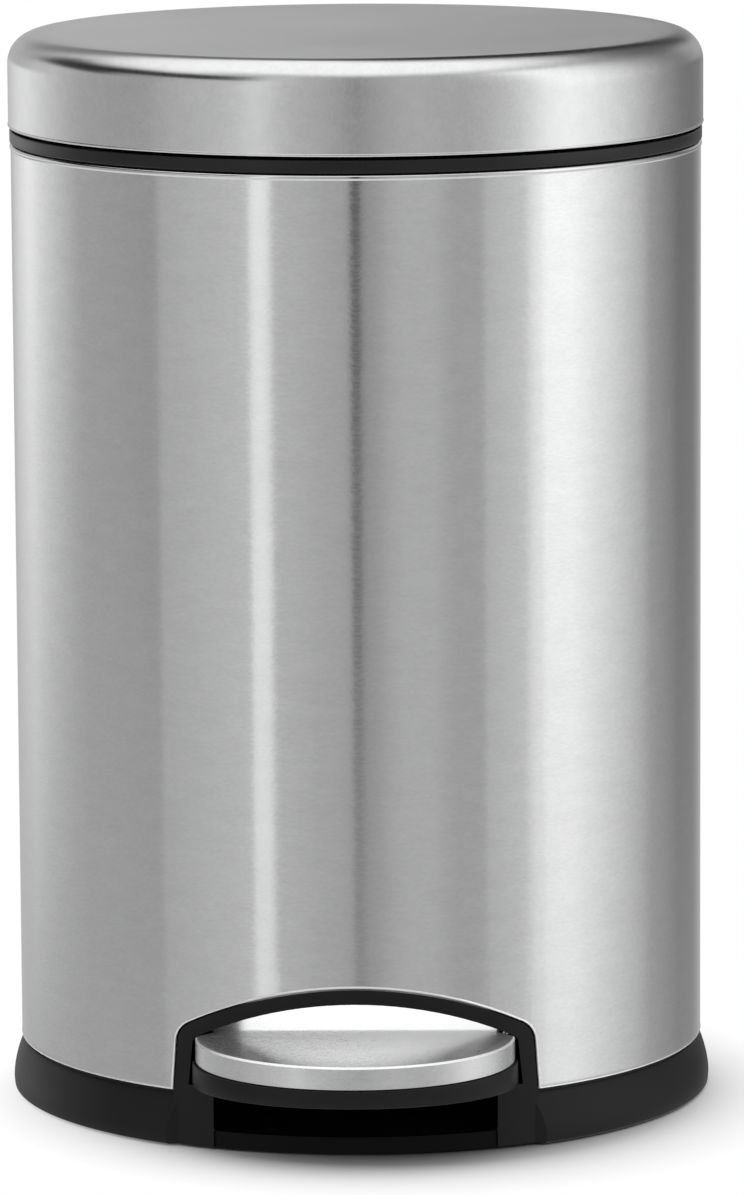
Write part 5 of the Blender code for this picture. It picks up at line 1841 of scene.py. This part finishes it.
@dataclass
class Linkage:
    """The lever, the lift rod and the damper between the pedal and the lid."""

    finishes: Finishes
    front: float = AXIS_Y - 0.0800
    front_low: float = 0.0180
    front_high: float = 0.0250
    hub_half: float = 0.0054
    pin: float = 0.0020
    link: Point2 = (AXIS_Y + 0.0860, 0.0086)
    link_pin: float = 0.0015
    end_half: float = 0.0038
    lever_half: float = 0.0015
    rod_x: float = 0.0060
    rod_radius: float = 0.0016
    rod_top: float = 0.252792
    rod_tip: float = -0.0065
    rod_bend: float = 0.0028
    eye_half: float = 0.0016
    eye_wall: float = 0.0015
    soft: float = 0.0003
    damper: Point3 = (-0.0140, AXIS_Y + 0.0862, 0.0600)
    tube_radius: float = 0.0052
    tube_wall: float = 0.0010
    tube_end: float = 0.0020
    tube_length: float = 0.0400
    crimp: float = 0.0004
    crimp_shares: tuple[float, ...] = (3.5, 3.0, 2.5, 2.0)
    piston: Point2 = (0.0640, 0.0700)
    piston_radius: float = 0.0038
    groove: float = 0.0009
    groove_half: float = 0.0010
    stem: float = 0.0014
    eye_hole: float = 0.0021
    stem_eye: float = 0.0031

    def lever(self) -> None:
        """The strip on edge, with its holes and broken edges."""
        y, z = PIVOT
        end, height = self.link[0] + self.end_half, self.link[1]
        outline = rounded(
            [
                (self.front, self.front_low, self.lever_half),
                (y, z - self.hub_half, self.hub_half),
                (end, height - self.end_half, self.end_half - GAP),
                (end, height + self.end_half, self.end_half - GAP),
                (y, z + self.hub_half, self.hub_half),
                (self.front, self.front_high, self.lever_half),
            ]
        )
        lever = side_slab("pedal_lever_strip", outline, -self.lever_half, self.lever_half)
        out = self.lever_half + OVERRUN
        rivets = [middle_of(f"lever_rivet_{number}").yz for number in (1, 2)]
        holes = [(PIVOT, self.pin)]
        holes += [(spot, self.link_pin) for spot in (self.link, *rivets)]
        for spot, radius in holes:
            cut(lever, bar("hole", radius + GAP, spot, -out, out))
        soften(lever, self.soft)
        dress(lever, self.finishes.plated, Body.PEDAL, "pedal_lever")

    def eye(self, thing: Shape, x: float, spot: Point2, outer: float, hole: float) -> None:
        """Adds a flat eye to a rod at a (y, z) place and bores it.

        Args:
            thing: the rod.
            x: the middle of the eye along X.
            spot: the (y, z) place of its hole.
            outer: its radius.
            hole: the radius of its hole.
        """
        half = self.eye_half
        join(thing, soften(bar("eye", outer, spot, x - half, x + half, EYE_STEPS), self.soft))
        half += OVERRUN
        cut(thing, bar("hole", hole, spot, x - half, x + half))

    def lift_rod(self) -> None:
        """The bent wire with its flattened eye."""
        hole = self.link_pin + GAP
        y, z = self.link
        middle = (self.rod_x - self.rod_bend, self.rod_top - self.rod_bend)
        line = [(self.rod_x, z + hole + self.eye_wall / 2)]
        line += [*arc(middle, self.rod_bend, 0, 90, 10), (self.rod_tip, self.rod_top)]
        lift = wire("lift_rod_wire", [(x, y, height) for x, height in line], self.rod_radius)
        self.eye(lift, self.rod_x, self.link, hole + self.eye_wall, hole)
        dress(lift, self.finishes.plated, Body.LIFT_ROD, "lift_rod")

    def damper_tube(self) -> None:
        """The damper's tube with a crimp near its lower end."""
        outer = self.tube_radius
        bore = outer - self.tube_wall
        hole = self.stem + GAP
        top = self.tube_length
        waist, end = outer - self.crimp, self.tube_end
        profile = [(0, top), (waist, top), (outer, top - self.crimp)]
        dent = (outer, waist, waist, outer)
        profile += [(across, end * share) for across, share in zip(dent, self.crimp_shares)]
        profile += [(outer, self.crimp), (waist, 0), (hole, 0), (hole, end), (bore, end)]
        profile += [(bore, top - end), (0, top - end)]
        tube = turned("damper_tube", profile, self.damper, steps=EYE_STEPS)
        dress(tube, self.finishes.plated, Body.BIN, "damper_cylinder")

    def plunger(self) -> None:
        """The damper's rod with its eye, its grooved piston and the seal."""
        x, y, _ = self.damper
        low, high = self.piston
        middle, half, soft = (low + high) / 2, self.groove_half, self.soft
        outer, inner = self.piston_radius, self.piston_radius - self.groove
        foot = self.link[1] + self.eye_hole + GAP
        profile = [(0, high), (outer - soft, high), (outer, high - soft)]
        profile += [(outer, middle + half), (inner, middle + half)]
        profile += [(inner, middle - half), (outer, middle - half)]
        profile += [(outer, low + soft), (outer - soft, low)]
        profile += [(self.stem, low), (self.stem, foot), (0, foot)]
        plunger = turned("damper_plunger_turned", profile, (x, y, 0), steps=BAR_STEPS)
        self.eye(plunger, x, (y, self.link[1]), self.stem_eye, self.eye_hole)
        dress(plunger, self.finishes.plated, Body.DAMPER_ROD, "damper_plunger")
        low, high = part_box("damper_seal")
        outer, inner = (high[0] - low[0]) / 2, inner + GAP
        corners = [(inner, low[2]), (outer, low[2]), (outer, high[2]), (inner, high[2])]
        profile = rounded([(*corner, soft / 2) for corner in corners])
        seal = lathe("damper_seal_ring", profile, 0.0, EYE_STEPS)
        place(seal, (x, y, 0), Along.UP)
        dress(seal, self.finishes.rubber, Body.DAMPER_ROD, "damper_seal")

    def build(self) -> None:
        """Makes the pieces between the pedal and the lid."""
        self.lever()
        self.lift_rod()
        self.damper_tube()
        self.plunger()


@dataclass
class Feet:
    """The soft parts: the anti-slip ring and the pads under the lid."""

    finishes: Finishes
    inner: float = 0.0840
    outer: float = 0.0900
    height: float = 0.0022
    soft: float = 0.0004
    pad_soft: float = 0.00015

    def build(self) -> None:
        """A ring with a groove in its tread, and four pads."""
        middle, soft = (self.inner + self.outer) / 2, self.soft
        profile = [(self.inner, self.height), (self.inner, soft), (self.inner + soft, 0)]
        profile += [(middle - 3 * soft, 0), (middle - 2 * soft, soft)]
        profile += [(middle + 2 * soft, soft), (middle + 3 * soft, 0)]
        profile += [(self.outer - soft, 0), (self.outer, soft), (self.outer, self.height)]
        ring = lathe("anti_slip_tread", profile, steps=TREAD_STEPS)
        dress(ring, self.finishes.rubber, Body.BIN, "anti_slip_ring")
        for number in range(1, 5):
            node = f"lid_bumper_{number}"
            low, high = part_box(node)
            radius = (high[0] - low[0]) / 2
            corners = [(radius - self.pad_soft, low[2]), (radius, low[2] + self.pad_soft)]
            line = [(0, low[2]), *corners, (radius, high[2]), (0, high[2])]
            pad = turned(node + "_pad", line, (*middle_of(node).xy, 0))
            dress(pad, self.finishes.rubber, Body.LID, node)


@dataclass
class Channel:
    """The cover behind the bucket, with the rod's guides and the damper's holders."""

    finishes: Finishes
    soft: float = 0.0004
    flat: float = math.radians(1)

    def build(self, nodes: dict[str, Shape]) -> None:
        """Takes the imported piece's shape, makes whole faces of it and rounds its edges.

        Args:
            nodes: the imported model's pieces by name.
        """
        deselect()
        thing = bpy.data.objects.new("rear_channel_soft", nodes["rear_channel"].data.copy())
        bpy.context.scene.collection.objects.link(thing)
        focus(thing)
        bpy.ops.object.mode_set(mode="EDIT")
        bpy.ops.mesh.select_all(action="SELECT")
        bpy.ops.mesh.remove_doubles(threshold=MERGE)
        bpy.ops.mesh.dissolve_limited(angle_limit=self.flat)
        bpy.ops.object.mode_set(mode="OBJECT")
        soften(thing, self.soft)
        dress(thing, self.finishes.black, Body.BIN, "rear_channel")


# Studio


@dataclass(frozen=True)
class SoftBox:
    """A patch of light round the bin.

    It lies between two bearings from the camera, in degrees with + to the right, and rises and
    falls over a soft edge at either side. Its strength also fades above and below it.
    """

    start: float
    rise: float
    end: float
    fall: float
    strength: float
    low: float = -6.0
    high: float = 42.0
    soft_low: float = 26.0
    soft_high: float = 12.0


@dataclass
class Studio:
    """Camera, lamps, floor and the light that the steel reflects."""

    azimuth: float = math.radians(0.994)
    distance: float = 2.0584
    aside: float = 0.0036590
    height: float = 0.46599
    pitch: float = 0.15968
    roll: float = -0.00598
    focal: float = 7618.4
    frame_height: float = 1195
    sensor: float = 36.0
    clip: Point2 = (0.05, 60.0)
    fill: float = 0.53
    matt_level: float = 0.95
    fields: tuple[SoftBox, ...] = (
        SoftBox(-168, 26, -138, 34, 1.18, soft_low=7),
        SoftBox(-104, 32, -69.8, 2, 0.43, -5, soft_low=10),
        SoftBox(-69.8, 2, -26, 12, 0.61),
        SoftBox(-65, 34, -29, 3, 0.80),
        SoftBox(-35.8, 0.8, -30, 3, 1.25, -5, soft_low=20),
        SoftBox(-28, 1, -25, 22, 0.68),
        SoftBox(4, 12, 25, 7, 0.64),
        SoftBox(-2.2, 0.5, 1.2, 0.8, 0.0, -3, soft_low=13),
        SoftBox(1, 1, 3, 8, 0.43),
        SoftBox(42.2, 1, 60, 1, 0.70),
        SoftBox(45, 18, 62, 1, 0.90),
        SoftBox(57, 8.5, 76, 39, 1.60, -4, soft_low=22),
        SoftBox(110, 26, 152, 22, 0.20, -5, soft_low=18),
        SoftBox(-ALL_ROUND, 1, -150, 30, 0.515, 2, 90, 4, 1),
        SoftBox(140, 20, ALL_ROUND, 1, 0.515, 2, 90, 4, 1),
        SoftBox(-180, 4, -150, 30, 0.58, 2, 90, 4, 1),
        SoftBox(140, 20, 176, 4, 0.52, 2, 90, 4, 1),
        SoftBox(-142, 8, -98, 14, 0.0, 21, 36, 3, 4),
        SoftBox(-106, 12, -46, 14, 0.0, 31, 42, 3, 4),
        SoftBox(-ALL_ROUND, 1, -160, 14, 0.20, 20, 36, 6, 8),
        SoftBox(134, 12, 160, 6, 0.10, 22, 44, 4, 4),
        SoftBox(156, 8, ALL_ROUND, 1, 0.0, 12.5, 44, 2, 3),
        SoftBox(-ALL_ROUND, 1, -75, 20, 1.30, 48, 90, 8, 1),
        SoftBox(-ALL_ROUND, 1, ALL_ROUND, 1, 1.45, 64, 90, 16, 1),
        SoftBox(-ALL_ROUND, 1, ALL_ROUND, 1, 0.98, -90, -30, 1, 10),
    )
    # The painted shadow round the bin's foot: its middle, its size, where it fades and how
    # steeply
    shade_x: float = 0.0095
    shade_y: float = AXIS_Y - 0.0145
    shade_size: Point2 = (0.111, 0.1235)
    shade_fade: Point2 = (0.60, 1.0)
    shade_power: float = 3.0
    glow_fade: Point2 = (0.72, 1.02)
    floor_light: Point3 = (0.96, 0.96, 0.96)
    floor_painted_shadow: Point3 = (0.04, 0.04, 0.045)
    floor_rough: float = 0.9
    floor_radius: float = 4.0
    floor_steps: int = 96
    floor_z: float = -0.0001
    card_low: Point2 = (-0.031, AXIS_Y - 0.0890)
    card_high: Point2 = (0.038, AXIS_Y - 0.0640)
    card_z: float = 0.0458
    card_level: float = 1.75

    def camera(self) -> None:
        """Places the camera at the photograph's viewpoint."""
        cosine = math.cos(self.azimuth)
        sine = math.sin(self.azimuth)
        x = self.aside * cosine + self.distance * sine
        y = AXIS_Y + self.aside * sine - self.distance * cosine
        data = bpy.data.cameras.new("camera")
        data.sensor_width = self.sensor
        data.lens = self.focal * self.sensor / self.frame_height
        data.clip_start, data.clip_end = self.clip
        camera = bpy.data.objects.new("camera", data)
        bpy.context.scene.collection.objects.link(camera)
        turn = Matrix.Rotation(self.azimuth, 4, "Z")
        turn @= Matrix.Rotation(math.pi / 2 - self.pitch, 4, "X")
        turn @= Matrix.Rotation(self.roll, 4, "Z")
        camera.matrix_world = Matrix.Translation((x, y, self.height)) @ turn
        bpy.context.scene.camera = camera

    def world(self) -> None:
        """White to the camera, even to matt surfaces, and with light fields to the steel."""
        world = bpy.data.worlds.new("studio")
        world.use_nodes = True
        bpy.context.scene.world = world
        graph = Graph(world.node_tree)
        graph.tree.nodes.clear()
        place = graph.put("TexCoord", "Generated")
        inputs = {"Vector": place, "Rotation": (0, 0, -self.azimuth)}
        turn = graph.put("Mapping", "Vector", inputs, vector_type="POINT")
        axes = graph.put("SeparateXYZ", "X", {"Vector": turn}).node.outputs
        toward = graph.maths("MULTIPLY", axes["Y"], -1.0)
        bearing = graph.maths("DEGREES", graph.maths("ARCTAN2", axes["X"], toward))
        height = graph.maths("DEGREES", graph.maths("ARCSINE", axes["Z"]))
        level: Socket | float = self.fill
        for spot in self.fields:
            left = graph.spread(bearing, 0.0, 1.0, spot.start, spot.start + spot.rise)
            right = graph.spread(bearing, 0.0, 1.0, spot.end + spot.fall, spot.end)
            under = graph.spread(height, 0.0, 1.0, spot.low - spot.soft_low, spot.low)
            over = graph.spread(height, 0.0, 1.0, spot.high + spot.soft_high, spot.high)
            sides = graph.maths("MINIMUM", left, right)
            mask = graph.maths("MULTIPLY", sides, graph.maths("MULTIPLY", under, over))
            inputs = {"Factor": mask, "A": level, "B": spot.strength}
            level = graph.put("Mix", "Result", inputs, data_type="FLOAT")
        white = (1, 1, 1, 1)
        steel, matt, seen = (
            graph.put("Background", "Background", {"Color": white, "Strength": strength})
            for strength in (level, self.matt_level, 1.0)
        )
        rays = graph.put("LightPath", "Is Camera Ray").node.outputs
        light = graph.choose(rays["Is Glossy Ray"], matt, steel)
        out = graph.tree.nodes.new("ShaderNodeOutputWorld")
        graph.feed(out.inputs["Surface"], graph.choose(rays["Is Camera Ray"], light, seen))

    def floor(self) -> None:
        """A white floor with a painted soft shadow round the bin's foot, which also takes the
        bin's real shadow.
        """
        deselect()
        bpy.ops.mesh.primitive_circle_add(
            vertices=self.floor_steps,
            radius=self.floor_radius,
            fill_type="NGON",
            location=(0, 0, self.floor_z),
        )
        floor = bpy.context.object
        floor.name = "studio_floor"
        recipe = Recipe("white_floor")
        place = recipe.put("TexCoord", "Object")
        centre = (self.shade_x, self.shade_y, 0)
        inputs = {"Vector": place, "Location": centre, "Scale": (*self.shade_size, 1)}
        oval = recipe.put("Mapping", "Vector", inputs, vector_type="TEXTURE")
        away = recipe.put("VectorMath", "Value", {0: oval}, operation="LENGTH")
        # Darker towards the bin's foot: a painted shadow in the floor's colour
        dark = recipe.spread(away, 1.0, 0.0, *self.shade_fade)
        depth = recipe.maths("POWER", dark, self.shade_power)
        recipe.shade(
            Base_Color=recipe.tint(depth, self.floor_light, self.floor_painted_shadow),
            Roughness=self.floor_rough,
            Specular_IOR_Level=0.0,
        )
        rays = recipe.put("LightPath", "Is Camera Ray").node.outputs
        glow = recipe.put("Emission", "Emission")
        beyond = recipe.spread(away, 0.0, 1.0, *self.glow_fade)
        part = recipe.maths("MULTIPLY", rays["Is Camera Ray"], beyond)
        lit = recipe.choose(part, recipe.shader.outputs["BSDF"], glow)
        clear = recipe.put("BsdfTransparent", "BSDF")
        target = recipe.tree.nodes["Material Output"].inputs["Surface"]
        recipe.feed(target, recipe.choose(rays["Is Glossy Ray"], lit, clear))
        floor.data.materials.append(recipe.material)
        floor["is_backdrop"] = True

    def card(self) -> None:
        """A small lamp over the pedal's rear slope, out of sight above the arch."""
        deselect()
        low, high = Vector(self.card_low), Vector(self.card_high)
        size = high - low
        bpy.ops.object.light_add(type="AREA", location=(*((low + high) / 2), self.card_z))
        lamp = bpy.context.object
        lamp.name = "recess_card"
        lamp.data.shape = "RECTANGLE"
        lamp.data.size = size.x
        lamp.data.size_y = size.y
        lamp.data.energy = self.card_level * math.pi * size.x * size.y

    def build(self) -> None:
        """Sets the whole studio up."""
        bpy.context.scene.view_settings.view_transform = "Standard"
        self.camera()
        self.world()
        self.floor()
        self.card()


def corners() -> list[list[float]]:
    """The shown object's box as plain numbers."""
    return [[float(value) for value in corner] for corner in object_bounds()]


def main() -> None:
    """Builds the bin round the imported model."""
    logging.basicConfig(level=logging.INFO, format="%(name)s: %(message)s")
    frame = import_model()
    deselect()
    finishes = Finishes()
    arch = Arch()
    Studio().build()
    Sleeve(finishes, arch).build()
    Lid(finishes).build()
    Rim(finishes).build()
    Base(finishes, arch).build()
    Pedal(finishes).build()
    Housing(finishes).build()
    Liner(finishes).build()
    Bucket(finishes).build()
    Channel(finishes).build(frame["nodes"])
    Linkage(finishes).build()
    Hardware(finishes).build()
    Feet(finishes).build()


if __name__ == "__main__":
    main()
